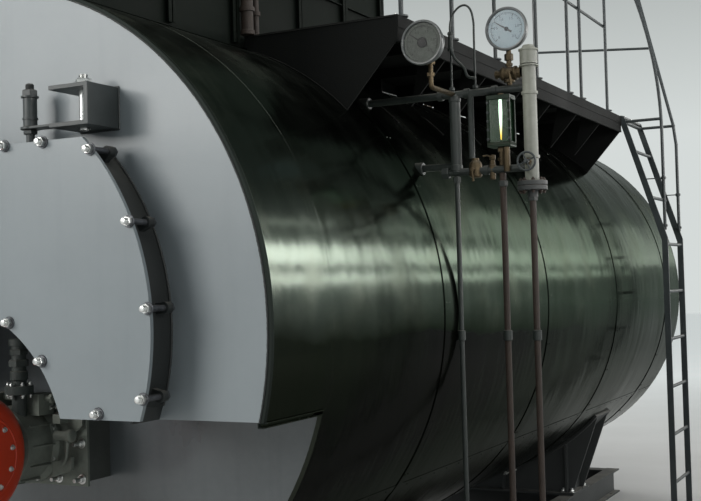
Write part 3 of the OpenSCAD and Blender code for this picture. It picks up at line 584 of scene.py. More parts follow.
def mottle_group():
    """Soft patches between two levels of a noise."""
    def build(wires, source):
        noise = wires.noise(source["Vector"], source["Scale"], 5.0, 0.6)
        return {"Mask": wires.ranged(noise, source["Low"], source["High"])}
    return shader_group("Mottle", {"Scale": ("Float", 4.0), "Low": ("Float", 0.35), "High": ("Float", 0.65)},
                        MASK, build)


def streak_group():
    """Runs and rubbed lines: a noise drawn out along one direction."""
    def build(wires, source):
        drawn = wires.add("ShaderNodeVectorMath", {"operation": "MULTIPLY"}, _0=source["Vector"], _1=source["Scale"])
        noise = wires.noise(drawn.outputs[0], 1.0, 3.0, 0.55)
        return {"Mask": wires.ranged(noise, source["Low"], source["High"])}
    return shader_group("Streaks", {"Scale": ("Vector", (9, 9, 0.8)), "Low": ("Float", 0.5), "High": ("Float", 0.75)},
                        MASK, build)


def dust_group():
    """Dust that lies on what faces up."""
    def build(wires, source):
        up = wires.part(wires.add("ShaderNodeNewGeometry").outputs["Normal"], 2)
        uneven = wires.ranged(wires.noise(source["Vector"], 9.0, 6.0), 0.3, 0.65, 0.35, 1.0)
        lying = wires.number("MULTIPLY", wires.ranged(up, 0.35, 0.95), uneven)
        return {"Mask": wires.number("MULTIPLY", lying, source["Amount"])}
    return shader_group("Dust", {"Amount": ("Float", 0.3)}, MASK, build)


def rust_group():
    """Rust spots with a rough edge, and their height."""
    def build(wires, source):
        wide = wires.noise(source["Vector"], source["Scale"], 8.0, 0.7)
        over = wires.number("SUBTRACT", wide, wires.ranged(source["Amount"], 0.0, 1.0, 0.78, 0.42))
        mask = wires.ranged(over, 0.0, 0.05)
        fine = wires.noise(source["Vector"], 260.0, 4.0)
        return {"Mask": mask, "Height": wires.number("MULTIPLY", mask, fine),
                "Color": wires.mix(fine, (0.10, 0.035, 0.018, 1), (0.27, 0.11, 0.045, 1))}
    return shader_group("Rust", {"Scale": ("Float", 14.0), "Amount": ("Float", 0.3)},
                        {**MASK, "Height": ("Float",), "Color": ("Color",)}, build)


def times(colour, factor):
    return tuple(min(1.0, c * factor) for c in colour[:3]) + (1.0,)


def new_material(name):
    """A material's wires, shader and Object coordinates."""
    material = bpy.data.materials.new(name)
    material.use_nodes = True
    wires = Wires(material.node_tree)
    coords = wires.add("ShaderNodeTexCoord").outputs["Object"]
    return material, wires, material.node_tree.nodes["Principled BSDF"], coords


def paint(name, colour, shade=1.0, rough=0.5, metallic=0.0, patchy=0.12, patch_scale=3.0, streaks=0.1, dust=0.15,
          rust=0.0, rust_scale=14.0, bump=0.08, grain=220.0, waves=0.0, coat=0.0, specular=0.5):
    """Painted, plated or bare metal with patches, runs, dust and rust of its own."""
    if isinstance(colour, str):
        colour = getattr(bpy.context.scene.boiler_colours, colour)
    # shade scales the colour down, to make a shaded copy of a paint as painted shade
    colour = times(colour, shade)
    material, wires, shader, coords = new_material(name)
    wide = wires.mottle(coords, patch_scale, 0.3, 0.7)
    fine = wires.mottle(coords, grain * 0.2, 0.3, 0.7)
    tone = wires.mix(wide, times(colour, 1 - patchy), times(colour, 1 + patchy))
    run = wires.number("MULTIPLY", wires.streaks(coords, (14, 14, 1.1), 0.52, 0.8), streaks)
    tone = wires.mix(run, tone, times(colour, 0.35))
    tone = wires.mix(wires.number("MULTIPLY", fine, patchy * 0.9), tone, times(colour, 0.5))
    lying = wires.effect(dust_group(), Vector=coords, Amount=dust)[0]
    tone = wires.mix(lying, tone, (0.30, 0.28, 0.24, 1))
    gloss = wires.ranged(wide, 0.0, 1.0, max(0.05, rough - 0.06), min(1.0, rough + 0.08))
    gloss = wires.between(lying, gloss, 0.9)
    bumps = wires.mottle(coords, grain, 0.2, 0.8)
    if waves:
        bumps = wires.number("ADD", bumps, wires.number("MULTIPLY", wires.mottle(coords, 2.2, 0.0, 1.0), waves))
    if rust:
        spots = wires.effect(rust_group(), Vector=coords, Scale=rust_scale, Amount=rust)
        tone = wires.mix(spots["Mask"], tone, spots["Color"])
        gloss = wires.between(spots["Mask"], gloss, 0.92)
        bumps = wires.number("ADD", bumps, spots["Height"])
        if metallic:
            metallic = wires.number("MAXIMUM", wires.number("SUBTRACT", metallic, spots["Mask"]), 0.0)
    relief = wires.add("ShaderNodeBump", Height=bumps, Strength=bump, Distance=0.002)
    wires.fill(shader, Base_Color=tone, Roughness=gloss, Metallic=metallic, Coat_Weight=coat, Coat_Roughness=0.12,
               Specular_IOR_Level=specular, Normal=relief.outputs[0])
    return material


def polished_cladding():
    """Polished sheet: smeared, slightly wavy reflections, dull patches and a lower half darkened as a painted dark
    reflection.
    """
    material, wires, shader, coords = new_material("polished_cladding")
    clad = bpy.context.scene.boiler_colours.cladding
    along, height = wires.part(coords, 1), wires.part(coords, 2)
    bands = wires.streaks(coords, (0.7, 5.5, 0.7), 0.3, 0.7)
    stained = wires.number("MULTIPLY", wires.mottle(coords, 2.3, 0.5, 0.75), 0.35)
    lying = wires.effect(dust_group(), Vector=coords, Amount=0.16)[0]
    front = -BODY_LEN / 2 * MM
    rim = wires.ranged(along, front + 0.013, front + 0.016, 1.0, 0.0)
    cloud = wires.streaks(coords, (1.6, 3.0, 5.0), 0.2, 0.8)
    # Below a wavy line the sheet is painted near-black and less metallic: a painted dark reflection of the lower half.
    edge = wires.number("MULTIPLY_ADD", along, 0.035, wires.number("MULTIPLY_ADD", cloud, 0.06, height))
    painted_dark_lower_half = wires.ranged(edge, 1.29, 1.43, 0.92, 0.0)
    tone = wires.mix(bands, times(clad, 0.86), times(clad, 1.1))
    gloss = wires.ranged(bands, 0.0, 1.0, 0.115, 0.18)
    for share, colour, rough in ((stained, (0.16, 0.17, 0.13, 1), 0.6), (lying, (0.1, 0.1, 0.085, 1), 0.8),
                                 (painted_dark_lower_half, (0.0105, 0.0118, 0.0083, 1), None), (rim, (0.02, 0.024, 0.022, 1), 0.6)):
        tone = wires.mix(share, tone, colour)
        if rough:
            gloss = wires.between(share, gloss, rough)
    rolled = wires.streaks(coords, (2.5, 170, 2.5), 0.2, 0.8)
    swell = wires.streaks(coords, (0.9, 3.2, 0.9), 0.0, 1.0)
    relief = wires.add("ShaderNodeBump", Height=wires.number("MULTIPLY_ADD", rolled, 0.012, swell), Strength=0.3,
                       Distance=0.02)
    wires.fill(shader, Base_Color=tone, Roughness=gloss, Normal=relief.outputs[0],
               Metallic=wires.ranged(painted_dark_lower_half, 0.0, 0.92, 1.0, 0.8), Specular_IOR_Level=0.12,
               Specular_Tint=(0.36, 0.38, 0.36, 1))
    return material


def clear_glass(name, colour, alpha, rough=0.04, specular=0.5):
    """Thin glass that shows what lies behind it."""
    material, wires, shader, coords = new_material(name)
    smear = wires.mottle(coords, 9.0, 0.3, 0.9)
    wires.fill(shader, Alpha=wires.ranged(smear, 0.0, 1.0, alpha, min(1.0, alpha + 0.06)),
               Roughness=wires.ranged(smear, 0.0, 1.0, rough, rough + 0.25), Base_Color=colour + (1.0,),
               Specular_IOR_Level=specular)
    return material


def painted_glow_strip():
    """Strip behind a sight glass that glows though it is no lamp: painted light for the bright light seen through the
    glass, white above and yellow towards its foot.
    """
    material, wires, shader, coords = new_material("sight_strip")
    level = wires.ranged(wires.part(coords, 2), 2.05, 2.10)
    tone = wires.mix(level, (0.80, 0.52, 0.03, 1), (0.72, 0.95, 0.78, 1))
    pale = wires.number("MULTIPLY", wires.mottle(coords, 60.0, 0.2, 0.8), 0.18)
    tone = wires.mix(pale, tone, (0.45, 0.7, 0.3, 1))
    wires.fill(shader, Base_Color=tone, Emission_Color=tone, Emission_Strength=1.15, Roughness=0.4)
    return material


# Values of paint() for each finish; a colour given as a word is one of the settings
RECIPES = {
    "dark_steel": dict(colour=(0.035, 0.04, 0.04), rough=0.6, dust=0.5, rust=0.18, bump=0.25),
    "grey_paint": dict(colour="front", rough=0.36, patchy=0.05, patch_scale=1.3, dust=0.3, bump=0.05, grain=140,
                       waves=0.6, coat=0.1),
    # Shaded copy of the front paint for the recessed lower front plate: painted shade.
    "grey_paint_dull": dict(colour="front", shade=0.36, rough=0.3, patchy=0.2, patch_scale=1.6, streaks=0.3,
                            dust=0.2, bump=0.05, waves=0.8, coat=0.2),
    "neck_steel": dict(colour=(0.012, 0.016, 0.016), rough=0.55, dust=0.3, rust=0.12, bump=0.2),
    "zinc_steel": dict(colour=(0.62, 0.63, 0.62), rough=0.3, metallic=1.0, patchy=0.2, patch_scale=30, dust=0.1,
                       rust=0.06, rust_scale=40, bump=0.1),
    "worn_bolt": dict(colour=(0.10, 0.105, 0.115), rough=0.42, metallic=0.8, patchy=0.4, patch_scale=50, dust=0.1,
                      rust=0.2, rust_scale=60, bump=0.2),
    "seal_rope": dict(colour=(0.09, 0.085, 0.075), rough=0.9, patchy=0.4, patch_scale=60, dust=0.2, bump=0.8,
                      grain=900, specular=0.2),
    "davit_steel": dict(colour=(0.036, 0.045, 0.046), rough=0.45, patchy=0.25, patch_scale=9, dust=0.5, rust=0.12,
                        bump=0.25, coat=0.05),
    "cast_grey": dict(colour=(0.17, 0.19, 0.165), metallic=0.4, patchy=0.25, patch_scale=14, dust=0.35, rust=0.1,
                      bump=0.5, grain=420),
    # Near-black finish for the burner mounting box: painted shade that stands for the shade on its side.
    "box_enamel": dict(colour=(0.045, 0.05, 0.046), rough=0.55, patchy=0.3, patch_scale=8, dust=0.2, rust=0.15,
                       bump=0.15),
    "burner_orange": dict(colour="burner", rough=0.38, dust=0.12, bump=0.05, grain=90, coat=0.15, specular=0.35),
    "pipe_grey": dict(colour=(0.026, 0.034, 0.031), patchy=0.25, patch_scale=20, dust=0.3, rust=0.22,
                      rust_scale=30, bump=0.3, specular=0.4),
    "green_grey_paint": dict(colour=(0.0085, 0.0125, 0.0095), rough=0.62, patchy=0.3, patch_scale=2.5, streaks=0.4,
                             dust=0.2, rust=0.1, bump=0.12, waves=1.2, specular=0.06),
    "deck_steel": dict(colour=(0.0075, 0.0085, 0.008), rough=0.75, patchy=0.2, dust=0.1, rust=0.1, rust_scale=9,
                       bump=0.3, specular=0.12),
    "rail_steel": dict(colour=(0.03, 0.04, 0.043), rough=0.48, patchy=0.2, patch_scale=16, dust=0.3, rust=0.16,
                       rust_scale=24, bump=0.2),
    "column_paint": dict(colour=(0.27, 0.28, 0.235), rough=0.48, patchy=0.18, patch_scale=18, streaks=0.4, dust=0.4,
                         rust=0.18, rust_scale=35, bump=0.25),
    "gauge_case": dict(colour=(0.11, 0.12, 0.12), rough=0.35, patchy=0.15, patch_scale=30, dust=0.25, bump=0.1,
                       coat=0.2),
    "gauge_face_aged": dict(colour=(0.125, 0.145, 0.125), patchy=0.5, patch_scale=30, streaks=0.2, dust=0.0,
                            bump=0.02),
    "gauge_green": dict(colour=(0.012, 0.028, 0.015), rough=0.4, patchy=0.2, patch_scale=20, rust=0.1,
                        rust_scale=40, bump=0.2, specular=0.15),
    "dial_white": dict(colour=(0.36, 0.46, 0.51), rough=0.4, patchy=0.04, patch_scale=40, dust=0.0, bump=0.02),
    "dark_print": dict(colour=(0.012, 0.012, 0.014), patchy=0.1, dust=0.0, bump=0.02),
    # The brass colour is darkened as painted shade, for the shaded cocks under the gauges.
    "brass": dict(colour=(0.090, 0.068, 0.040), rough=0.48, metallic=0.85, patchy=0.4, patch_scale=40, dust=0.4,
                  rust=0.2, rust_scale=60, bump=0.4),
    "rusty_pipe": dict(colour=(0.05, 0.034, 0.026), rough=0.65, patchy=0.35, patch_scale=14, streaks=0.4, dust=0.2,
                       rust=0.3, rust_scale=22, bump=0.5, specular=0.35),
}
MATERIALS = {}


def finish(name):
    """The material of one of the record's slots or of a recipe, made once."""
    if name not in MATERIALS:
        MATERIALS[name] = polished_cladding() if name == "cladding_steel" else paint(name, **RECIPES[name])
    return MATERIALS[name]


# Settings that a user may change

class BoilerColours(bpy.types.PropertyGroup):
    front: FloatVectorProperty(name="Front paint", description="Colour of the painted front and doors",
                               subtype="COLOR", size=3, min=0, max=1, default=(0.225, 0.258, 0.275))
    cladding: FloatVectorProperty(name="Cladding", description="Tint of the polished sheet",
                                  subtype="COLOR", size=3, min=0, max=1, default=(0.105, 0.12, 0.105))
    burner: FloatVectorProperty(name="Burner enamel", description="Colour of the burner's housing",
                                subtype="COLOR", size=3, min=0, max=1, default=(0.50, 0.035, 0.006))


class BoilerSizes(bpy.types.PropertyGroup):
    edge: FloatProperty(name="Plate edge", description="Rounding of cut plate edges, in millimetres",
                        default=EDGE, min=0.0, max=4.0)


# Operators

def rays_seen(wires):
    """1 where the background shows itself, in metal and glass as well as to the camera."""
    rays = wires.add("ShaderNodeLightPath").outputs
    seen = wires.number("MAXIMUM", rays["Is Camera Ray"], rays["Is Glossy Ray"])
    return wires.number("MAXIMUM", seen, rays["Is Transmission Ray"])


def softbox(name, place, target, width, height, power):
    """Lamp that shines through a rectangle and that the camera doesn't see."""
    data = bpy.data.lights.new(name, "AREA")
    data.shape = "RECTANGLE"
    data.size, data.size_y, data.energy = width, height, power
    data.color = (1.0, 0.98, 0.95)
    lamp = new_object(name, data)
    lamp.location = place
    lamp.rotation_euler = (Vector(target) - Vector(place)).to_track_quat("-Z", "Y").to_euler()
    lamp.visible_camera = False
    return lamp


class BOILER_OT_stage(bpy.types.Operator):
    """Floor, lights and camera"""
    bl_idname = "boiler.stage"
    bl_label = "Stage"

    def execute(self, context):
        scene = context.scene
        half = 40.0
        mesh = bpy.data.meshes.new("floor")
        mesh.from_pydata([(x * half, y * half, 0) for x, y in ((-1, -1), (1, -1), (1, 1), (-1, 1))], [], [(0, 1, 2, 3)])
        floor = new_object("floor", mesh)
        material, wires, shader, coords = new_material("floor_pale")
        tone = wires.mix(wires.mottle(coords, 1.5, 0.2, 0.8), (0.50, 0.50, 0.49, 1), (0.56, 0.56, 0.55, 1))
        away = wires.add("ShaderNodeVectorMath", {"operation": "LENGTH"}, _0=coords).outputs["Value"]
        pale = wires.number("MULTIPLY", wires.ranged(away, 4.0, 12.0), rays_seen(wires))
        wires.fill(shader, Base_Color=tone, Roughness=0.85, Emission_Color=(0.42, 0.45, 0.445, 1),
                   Emission_Strength=pale)
        mesh.materials.append(material)

        scene.world = bpy.data.worlds.new("studio")
        scene.world.use_nodes = True
        wires = Wires(scene.world.node_tree)
        wires.tree.nodes.clear()
        fill = wires.add("ShaderNodeBackground", Color=(0.80, 0.86, 0.88, 1), Strength=0.36)
        height = wires.ranged(wires.part(wires.add("ShaderNodeTexCoord").outputs["Generated"], 2), 0.12, 0.42)
        shade = wires.mix(height, (0.66, 0.70, 0.69, 1), (0.13, 0.15, 0.145, 1))
        back = wires.add("ShaderNodeBackground", Color=shade, Strength=1.0)
        both = wires.add("ShaderNodeMixShader", _0=rays_seen(wires), _1=fill.outputs[0], _2=back.outputs[0])
        wires.add("ShaderNodeOutputWorld", _0=both.outputs[0])

        softbox("front_softbox", (-4.0, -10.0, 5.0), (0, -2.7, 1.4), 5.0, 4.0, 560)
        softbox("window_softbox", (5.45, 5.4, 3.2), (1.1, -2.2, 1.6), 4.6, 1.1, 140).visible_glossy = False
        window_x = 4.0
        # Rows of windows that only reflections show: foot and top, then (near, far, power per area) along y
        for name, low, high, lengths in (
                ("upper_window", 2.63, 3.18, ((-5.0, 3.8, 29.0), (3.8, 6.5, 18.0), (6.5, 12.0, 12.0),
                                              (12.0, 18.0, 9.0))),
                ("lower_window", 2.12, 2.37, ((-5.0, 3.8, 25.0), (3.8, 6.5, 17.0), (6.5, 12.0, 13.0))),
                ("top_window", 3.85, 4.00, ((2.5, 9.0, 8.0),)),
                ("far_window", 3.18, 5.6, ((8.5, 20.0, 7.0),))):
            for i, (near, far, strength) in enumerate(lengths):
                middle = ((near + far) / 2, (low + high) / 2)
                lamp = softbox("%s_%d" % (name, i), (window_x,) + middle, (0,) + middle, far - near, high - low,
                               strength * (far - near) * (high - low))
                lamp.visible_diffuse = False
        softbox("top_softbox", (2.5, -1.0, 9.0), (0, 0, 1.5), 7.0, 7.0, 330)
        softbox("left_softbox", (-9.0, 5.0, 5.0), (0, 0, 1.4), 6.0, 3.0, 420)

        yaw, pitch, roll = (math.radians(a) for a in (27.53, 1.66, -1.58))
        ahead = Vector((-math.sin(yaw) * math.cos(pitch), math.cos(yaw) * math.cos(pitch), math.sin(pitch)))
        right = Vector((math.cos(yaw), math.sin(yaw), 0))
        up = right.cross(ahead)
        across = right * math.cos(roll) + up * math.sin(roll)
        above = -right * math.sin(roll) + up * math.cos(roll)
        data = bpy.data.cameras.new("camera")
        data.sensor_fit = "HORIZONTAL"
        data.sensor_width, data.lens, data.clip_end = 36.0, 59.02, 200.0
        camera = new_object("camera", data)
        turn = Matrix((across, above, -ahead)).transposed().to_4x4()
        camera.matrix_world = Matrix.Translation((2.7841, -5.4623, 1.510)) @ turn
        scene.camera = camera
        scene.view_settings.view_transform = "Standard"
        return {"FINISHED"}


def rivet():
    """Domed rivet head."""
    return Shape().lathe([(3.6, -0.4), (3.6, 0.3), (3.0, 1.2), (1.8, 1.9), (0, 2.2)], steps=10)


def rivet_row(ys, count, turn, radius):
    """Rivets round the shell, at each angle one for each y."""
    return [(clock(angle) * radius + Y * y, clock(angle), i * 0.7) for i, angle in enumerate(around(count, turn))
            for y in ys]


class BOILER_OT_shell(bpy.types.Operator):
    """Polished cladding with its bands, rivets, lap seams and pipe collars"""
    bl_idname = "boiler.shell"
    bl_label = "Shell"

    def execute(self, context):
        for node in ("cladding", "cladding_bands", "rear_end_plate"):
            dress(node)
        spots = [spot for y in BAND_STARTS for spot in rivet_row((y + 11, y + 39), 30, 0.37, 1103.3)]
        spots += rivet_row((5419,), 36, 0.2, 1100.1)
        sheets = list(zip([366] + [y + BAND_WIDTH for y in BAND_STARTS], BAND_STARTS + (5427,)))
        lap = Shape()
        for angle in (128, -128):
            out = clock(math.radians(angle))
            turns = [math.radians(a) for a in spread(angle - 0.95, angle + 0.95, 6)]
            outline = [(1101.4 * math.sin(a), 1101.4 * math.cos(a)) for a in turns]
            outline += [(1099.5 * math.sin(a), 1099.5 * math.cos(a)) for a in reversed(turns)]
            for first, last in sheets:
                count = int((last - first) / 130)
                spots += [(out * SEAM_R + Y * (first + (last - first) * (i + 0.5) / count), out, i * 0.5)
                          for i in range(count)]
                lap.slab(outline, X, Z, last - first - 1, (0, last - 0.5, 0))
        piece(lap, "lap_seams", "cladding_steel")
        scattered("cladding_rivets", "cladding_steel", rivet(), spots)
        clips = Shape()
        for y in BAND_STARTS:
            for sign in SIDES:
                out = clock(math.radians(sign * 158))
                side = Vector((out.z, 0, -out.x))
                clips.move(0, y + BAND_WIDTH / 2, 0)
                for shift in (-26, 26):
                    clips.slab([(-16, 0), (16, 0), (16, 20), (-16, 20)], Y, out, 3, out * 1103 + side * shift)
                clips.stud(out * 1115 - side * 44, side, 4, 88, 2.5, 10)
                clips.hexagon(out * 1115 + side * 30, side, 13, 6)
                clips.hexagon(out * 1115 - side * 36, side, 13, 6)
        piece(clips, "band_bolts", "zinc_steel")
        collars = Shape(0, GAUGE_Y, 0)
        for x, z, length in ((936, 552, 36), (702, 829, 42)):
            collars.lathe([(14, 0), (25, 0), (25, length - 2), (23, length), (14, length)], (x, 0, z), X, 28)
        piece(collars, "pipe_collars", "pipe_grey", sharp=30)
        weld_beads("smoke_box_seam", "cladding_steel", [ring_path(1099.6, 366, -1.82, 1.82)], 0.9, 3)
        weld_beads("rear_seam", "neck_steel", [ring_path(1098.5, 5428)], 3, 6)
        return {"FINISHED"}


class BOILER_OT_front(bpy.types.Operator):
    """Front plates, smoke box edges and their welds"""
    bl_idname = "boiler.front"
    bl_label = "Front"

    def execute(self, context):
        edge = context.scene.boiler_sizes.edge
        dress("front_plate", edge)
        # The lower front plate gets a darker copy of the front paint as painted shade of its recess.
        dress("lower_front_plate", edge, finish("grey_paint_dull"))
        for node in ("smoke_box_floor", "front_rim", "smoke_box_shell"):
            dress(node)
        weld_beads("neck_weld", "neck_steel", [door_path(31.5, -1.0)], 4.5)
        rim_turn = math.pi - math.asin(math.sqrt(1088 ** 2 - CHORD ** 2) / 1088)
        weld_beads("rim_weld", "neck_steel", [ring_path(1087.5, -0.5, -rim_turn, rim_turn)], 3.0, 8)
        side = math.sqrt(SHELL_R ** 2 - CHORD ** 2)
        lip = Shape(0, 0, CHORD)
        for sign in SIDES:
            for outer, low, high in ((5, -3, 0), (-3, -17, -14), (-19, -15, -2)):
                lip.box((sign * (side - 22), sign * (side + outer)), (3, SMOKE_DEPTH - 14), (low, high))
        piece(lip, "smoke_box_lip", "cladding_steel", bevel=0.6)
        seam = [(x, SMOKE_DEPTH - 13, CHORD - 2) for x in (505, side - 30)]
        weld_beads("lower_front_weld", "grey_paint", both_sides(seam), 3.5, 4)
        weld_beads("arch_weld", "neck_steel", [ring_path(505, 4, -1.31, 1.31, 60, (0, BURNER_Z))], 4, 6)
        return {"FINISHED"}


def clamp_places():
    """Places in x and z of the door clamps of the right side."""
    spots = [(786 * math.sin(a), 786 * math.cos(a)) for a in map(math.radians, (48.5, 67.2, 85.9, 104.6))]
    spots += [(x, 556) for x in (107, 258, 409)] + [(598, -244)]
    return spots + [(490 * math.sin(a), 490 * math.cos(a) + BURNER_Z) for a in map(math.radians, (12.5, 32.5, 52.5))]


class BOILER_OT_doors(bpy.types.Operator):
    """Smoke-box doors with their neck, rope seal, clamp bolts and lifting rods"""
    bl_idname = "boiler.doors"
    bl_label = "Doors"

    def execute(self, context):
        edge = context.scene.boiler_sizes.edge
        for node, share in (("right_door", 1), ("left_door", 1), ("door_neck", 0.6)):
            dress(node, edge * share)
        skirt = Shape()
        turns = [math.asin(-z / 755) for z in (-229, -240, -251, -262, -272)]
        for sign in SIDES:
            outline = [(sign * 757 * math.cos(a), -757 * math.sin(a)) for a in turns]
            outline += [(sign * 751 * math.cos(a), -751 * math.sin(a)) for a in reversed(turns)]
            skirt.slab(outline, X, Z, 128, (0, -0.5, 0))
        piece(skirt, "neck_skirt", "neck_steel")
        piece(Shape().tube(door_path(26, -124), 5.5, 10), "seal_rope", "neck_steel", material=finish("seal_rope"))
        clamps, shanks = Shape(), Shape()
        for sign in SIDES:
            for i, (x, z) in enumerate(clamp_places()):
                clamps.move(sign * x, -143, z)
                shanks.move(sign * x, -143, z)
                shanks.rod((0, -2, 0), (0, 71, 0), 9.4, 16)
                clamps.stud((0, -6, 0), -Y, 9.8, 25)
                shanks.lathe([(10, 0), (19, 0), (19, 3), (18.4, 3.8), (10, 3.8)], (0, -0.3, 0), -Y, 24)
                clamps.hexagon((0, -4, 0), -Y, 26, 14, i * 0.7)
                shanks.hexagon((0, 95, 0), Y, 28, 12, i * 1.1)
        piece(clamps, "clamp_nuts", "zinc_steel", ("door_clamps",), sharp=30)
        piece(shanks, "clamp_shanks", "zinc_steel", sharp=30, material=finish("worn_bolt"))
        welds = []
        for sign in SIDES:
            for x, z in clamp_places()[:4]:
                far = math.hypot(x, z)
                across = Vector((z, 0, -x)) / far * 14
                root = Vector((x, 0, z)) * (753 / far)
                welds += [[(sign * end.x, y, end.z) for end in (root - across, root + across)] for y in (-74, -46)]
        weld_beads("lug_welds", "neck_steel", welds, 3.5, 9)
        rods = Shape()
        for sign in SIDES:
            rods.move(sign * 295, HINGE_Y, 0)
            rods.rod((0, 0, 528), (0, 0, 609), 13.4, 20)
            rods.hexagon((0, 0, 596), Z, 40, 12, 0.3)
            rods.rod((0, 0, 618), (0, 0, 708), 21.5, 28, 1.5)
            rods.ring(21.5, 24, 6.5, (0, 0, 640), Z, 28, 0.5)
            rods.ring(14, 27, 5, (0, 0, 708), Z, 28)
            rods.hexagon((0, 0, 713), Z, 44, 19, 0.2)
            rods.stud((0, 0, 726), Z, 13.5, 26, 3)
        piece(rods, "lifting_rods_finished", "davit_steel", ("lifting_rods",), sharp=30)
        return {"FINISHED"}


class BOILER_OT_davits(bpy.types.Operator):
    """Davit brackets with their pins, arms and welds"""
    bl_idname = "boiler.davits"
    bl_label = "Davits"

    def execute(self, context):
        edge = context.scene.boiler_sizes.edge
        dress("davit_brackets", edge * 1.5)
        dress("davit_arms", edge)
        pins = Shape()
        for sign in SIDES:
            pins.move(sign * 507, HINGE_Y, 0)
            pins.rod((0, 0, 588), (0, 0, 722), 13.8, 24, 1.5)
            pins.lathe([(14, 0), (28, 0), (28, 4.2), (27, 5), (14, 5)], (0, 0, 721))
            pins.hexagon((0, 0, 726), Z, 43, 19, 0.4)
            pins.stud((0, 0, 740), Z, 13.6, 18, 3)
            pins.rod((-24, 0, 592), (24, 0, 592), 2.5, 8)
        piece(pins, "pins_finished", "zinc_steel", ("davit_pins",), sharp=30)
        frames = [[(433, -1, low), (x, -1, low), (x, -1, high), (433, -1, high)]
                  for x, low, high in ((582.5, 594.5, 722.5), (564.5, 610.5, 706.5))]
        weld_beads("bracket_welds", "davit_steel", both_sides(*frames), 3.5, 11)
        corners = [[(565, -140, z), (565, -3, z)] for z in (610.5, 706.5)]
        weld_beads("corner_welds", "davit_steel", both_sides(*corners), 3, 12)
        return {"FINISHED"}


def pressure_gauge(name, x, y, z, reading, face, glass, boss=8.0):
    """Dial gauge that faces the front: case, bezel, dial with its scale, needle and glass."""
    body = Shape(x, y + 26, z)
    body.lathe([(0, 0), (66, 0), (72, 3), (74, 7), (74, 36), (76, 38), (82.6, 39), (82.9, 41), (82.9, 48), (81.5, 51),
                (79, 52), (75.5, 51.5), (73.5, 49), (72, 45), (72, 42.2), (0, 42.2)], axis=-Y, steps=72)
    for i in range(3):
        spot = ray(math.radians(90 + 120 * i)) * 78 - Y * 51.2
        body.lathe([(0, -1), (3.2, -1), (3.2, 0.8), (2.4, 1.4), (0, 1.4)], spot, -Y, 12)
    piece(body, name + "_case", "zinc_steel", sharp=28, material=finish("gauge_case"))
    dial = Shape(x, y - 16, z).lathe([(0, 0), (71.8, 0), (71.8, 1.2), (0, 1.2)], axis=-Y, steps=64)
    piece(dial, name + "_dial", "dial_white", material=finish(face))
    marks, needle = Shape(x, y - 17.3, z), Shape(x, y - 17.3, z)
    sweep = math.radians(135)
    for i, angle in enumerate(spread(-sweep, sweep, 50)):
        s, c = math.sin(angle), math.cos(angle)
        long, half = (10, 1.1) if i % 10 == 0 else ((7.5, 0.7) if i % 5 == 0 else (4.5, 0.4))
        marks.slab([(s * r + half * t * c, c * r - half * t * s)
                    for r, t in ((61 - long, -1), (61 - long, 1), (61, 1), (61, -1))], X, Z, 0.4)
    rays = [(math.sin(a), math.cos(a)) for a in spread(-sweep, sweep, 48)]
    for (a, b), (c, d) in zip(rays, rays[1:]):
        marks.slab([(61.2 * a, 61.2 * b), (61.2 * c, 61.2 * d), (62.2 * c, 62.2 * d), (62.2 * a, 62.2 * b)], X, Z, 0.3)
    for i, angle in enumerate(spread(-sweep, sweep, 5)):
        marks.figures("%.1f" % (i * 0.5) if i else "0", clock(angle) * 42 - Y * 0.2, 13)
    piece(marks, name + "_scale", "rail_steel", material=finish("dark_print"))
    along = clock(-sweep + 2 * sweep * reading)
    needle.slab([(-4.0, -24), (4.0, -24), (3.4, 0), (1.4, 55), (-1.4, 55), (-3.4, 0)],
                (along.z, 0, -along.x), along, 0.8, (0, -1.6, 0))
    needle.lathe([(0, -1.5), (boss, -1.5), (boss, 1.2), (boss * 0.8, 2.2), (0, 2.2)], (0, -1.2, 0), -Y)
    piece(needle, name + "_needle", "rail_steel", material=finish("dark_print"))
    pane = Shape(x, y - 20.6, z).lathe([(0, 0), (73.4, 0), (73.4, 1.0), (60, 2.2), (30, 3.0), (0, 3.2)], axis=-Y,
                                       steps=64)
    piece(pane, name + "_glass", "gauge_glass", sharp=60, material=glass)


def handwheel(shape, axis, radius, rim, spokes):
    """Cast handwheel round a shape's spot, with a rounded rim, tapered spokes and a hub."""
    turn = axis.to_track_quat("Z", "Y").to_matrix()
    ahead = turn @ Z
    shape.tube([turn @ Vector((radius * c, radius * s, 0)) for c, s in circle(40)], rim, 10)
    for angle in around(spokes):
        out = turn @ Vector((math.cos(angle + 0.4), math.sin(angle + 0.4), 0))
        shape.tube([out * 4, out * radius * 0.5 - ahead, out * radius], [rim * 0.9, rim * 0.65, rim * 0.8], 8)
    shape.lathe([(0, -7), (9, -7), (9, 6), (7.5, 8), (0, 8)], axis=ahead, steps=20)
    shape.hexagon(ahead * 8, ahead, 11, 6)


